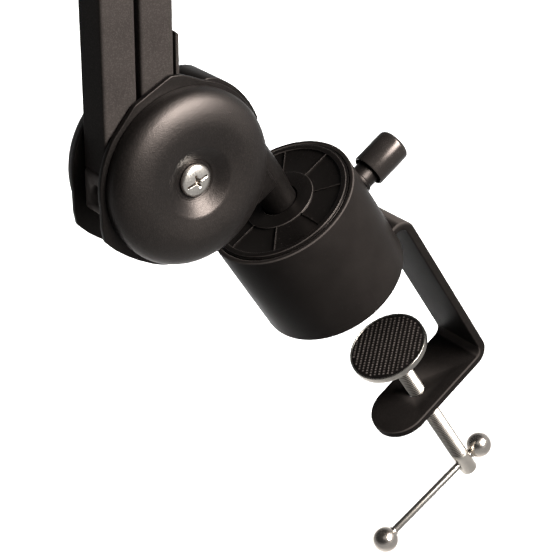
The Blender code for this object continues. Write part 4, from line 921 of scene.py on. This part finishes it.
def head():
    """Two linked plates, a bridge behind them and the tongue that the fork hangs from."""
    lean = math.degrees(math.atan2(UPPER_LINK.z, UPPER_LINK.x))
    middle = UPPER_LINK / 2
    outline = arc(0, 0, 11.0, lean - 270, lean - 90, 24)
    outline += arc(UPPER_LINK.x, UPPER_LINK.z, 11.0, lean - 90, lean + 90, 24)
    bridge_z = (middle.z - 8.0, middle.z + 8.0)
    shells = [prism(outline, *side) for side in PLATES]
    shells.append(block((-20.0, -14.0), (-PLATE_OUT, PLATE_OUT), bridge_z))
    for y in ((-PLATE_OUT, -PLATE_IN - 0.05), (PLATE_IN + 0.05, PLATE_OUT)):
        shells.append(block((-16.0, middle.x), y, bridge_z))
    tongue = arc(TILT.x - HEAD_REAR.x, middle.z, 8.0, 45, 315, 36)
    tongue += [(-17.0, middle.z - 5.5), (-17.0, middle.z + 5.5)]
    shells.append(prism(soften(tongue, 1.0), -4.0, 4.0))
    ease(0.5, *shells)
    fine("head_bracket", moved(together(*shells), Matrix.Translation(HEAD_REAR)), CAST_PAINT)
    pin("head_rear_pin", HEAD_REAR)
    pin("head_front_pin", HEAD_REAR + UPPER_LINK)


def fork():
    """Two ears on a floor, with the threaded stud under it."""
    drop, ear_r = 20.0, 8.0
    ear = soften(arc(0, 0, ear_r, 0, 180, 28) + [(-ear_r, -drop), (ear_r, -drop)], 0.8)
    shells = [prism(ear, *side) for side in ((-8.8, -4.3), (4.3, 8.8))]
    shells.append(block((-ear_r, ear_r), (-6.5, 6.5), (-drop, -drop + 5.0)))
    ease(0.45, *shells)
    shells.append(rod(7.0, -drop - 1.6, -drop + 1.0, 64, 0.2))
    shells.append(helix(7.9, 0.5, 0.94, -drop - 12.0, -drop - 1.4, 56, 0.8))
    hole = drill(PIVOT_BORE_R, at(TILT, FRONT))
    fine("mic_fork", moved(together(*shells), Matrix.Translation(TILT)), CAST_PAINT, cutters=(hole,))
    tilt_knob()


def tilt_knob():
    """A fluted knob on its bolt."""
    start, sides, flutes, flute_depth = 9.1, 144, 18, 0.55
    profile = [
        (6.0, 0.0), (6.0, 2.0), (10.4, 2.8), (11.0, 3.6),
        (11.0, 10.2), (10.4, 11.4), (9.0, 11.9), (4.0, 11.9),
    ]
    rows = []
    for radius, up in profile:
        depth = flute_depth if radius > 9.5 else 0.0
        row = []
        for k in range(sides):
            dip = depth * max(0.0, math.cos(math.tau * k / sides * flutes)) ** 3
            row.append((*polar(radius - dip, 360.0 * k / sides), start + up))
        rows.append(row)
    bolt = rod(3.0, -9.2, start + 1.0, 40)
    fine("tilt_knob", together(skin(rows), bolt), KNOB_PLASTIC, at(TILT, FRONT), angle=40.0)


def carried_materials():
    """Inner parts keep their CAD shape and take a detailed finish."""
    for name, obj in frame["nodes"].items():
        if not obj.hide_render:
            obj.data.materials.clear()
            obj.data.materials.append(BY_SLOT[SLOT_OF[name]])


# Stage, in metres

FLOOR_Z = -0.60
FLOOR_HALF = 6.0
FLOOR_GLOW = 0.34
SKY_FALL = {"From Min": 0.10, "From Max": 0.45, "To Min": 0.40, "To Max": 0.05}
AIM = (0.0, 0.0, 0.05)
UNDER_STAND = (0.24, 0.88, FLOOR_Z)
WHITE = (1.0, 1.0, 1.0)
PHOTO_PIXELS = 560.0
FOCAL_PIXELS = 1776.208
SENSOR_MM = 36.0
CAMERA_PLACE = Vector((-0.18181, -0.55199, 0.53141))
CAMERA_RIGHT = Vector((0.67462909, -0.59722451, -0.43381848))
CAMERA_DOWN = Vector((-0.70752621, -0.35563335, -0.61068124))
CAMERA_FORWARD = Vector((0.21043348, 0.71892128, -0.6624726))


def floor():
    """A wide pale floor that glows a little, so that its far side doesn't turn grey."""
    bm = bmesh.new()
    bm.faces.new([bm.verts.new((x * FLOOR_HALF, y * FLOOR_HALF, FLOOR_Z)) for x, y in SQUARE])
    mesh = bpy.data.meshes.new("floor")
    bm.to_mesh(mesh)
    bm.free()
    floor_object = bpy.data.objects.new("floor", mesh)
    bpy.context.scene.collection.objects.link(floor_object)
    pale = Shader("pale_floor")
    pale.main.inputs["Emission Color"].default_value = (*WHITE, 1.0)
    pale.main.inputs["Emission Strength"].default_value = FLOOR_GLOW
    cloud = pale.band(pale.noise(300.0, 2.0), 0.3, 0.7)
    mesh.materials.append(pale.done(pale.mix(cloud, tinted(0.86, WHITE), tinted(0.90, WHITE)), 0.9))


def sky():
    """White light all round, bright at the horizon and faint above."""
    world = bpy.data.worlds.new("studio")
    world.use_nodes = True
    nodes, links = world.node_tree.nodes, world.node_tree.links
    direction = nodes.new("ShaderNodeSeparateXYZ")
    links.new(nodes.new("ShaderNodeTexCoord").outputs["Generated"], direction.inputs[0])
    fall = nodes.new("ShaderNodeMapRange")
    for key, value in SKY_FALL.items():
        fall.inputs[key].default_value = value
    links.new(direction.outputs["Z"], fall.inputs["Value"])
    links.new(fall.outputs["Result"], nodes["Background"].inputs["Strength"])
    nodes["Background"].inputs["Color"].default_value = (*WHITE, 1.0)
    bpy.context.scene.world = world


def light(name, aim, towards, distance, size, power, spread, colour=WHITE):
    """A rectangular lamp that looks back at its aim."""
    data = bpy.data.lights.new(name, "AREA")
    data.spread = math.radians(spread)
    data.shape = "RECTANGLE"
    data.size, data.size_y = size
    data.energy = power
    data.color = colour
    obj = bpy.data.objects.new(name, data)
    bpy.context.scene.collection.objects.link(obj)
    direction = Vector(towards).normalized()
    obj.location = Vector(aim) + direction * distance
    obj.rotation_mode = "QUATERNION"
    obj.rotation_quaternion = direction.to_track_quat("Z", "Y")


def lights():
    light("key", AIM, (0.56, -0.72, 0.38), 1.0, (0.95, 0.45), 10.6, 60.0, (1.0, 0.96, 0.92))
    light("top", AIM, (0.0, -0.5, 1.0), 2.0, (1.2, 1.2), 0.3, 90.0)
    light("backdrop", UNDER_STAND, (0.0, 0.0, 1.0), 1.0, (0.5, 0.5), 6.6, 80.0)


def camera():
    data = bpy.data.cameras.new("camera")
    data.sensor_width = SENSOR_MM
    data.lens = FOCAL_PIXELS / PHOTO_PIXELS * SENSOR_MM
    data.dof.use_dof = False
    data.clip_start = 0.05
    data.clip_end = 30.0
    obj = bpy.data.objects.new("camera", data)
    bpy.context.scene.collection.objects.link(obj)
    turn = Matrix((CAMERA_RIGHT, -CAMERA_DOWN, -CAMERA_FORWARD)).transposed().to_4x4()
    turn.translation = CAMERA_PLACE
    obj.matrix_world = turn
    bpy.context.scene.camera = obj


base()
clamp()
thumb()
yoke()
covers("yoke", YOKE)
arms()
elbow()
covers("elbow", ELBOW)
head()
fork()
carried_materials()
floor()
sky()
lights()
camera()
bpy.context.scene.view_settings.view_transform = "Standard"
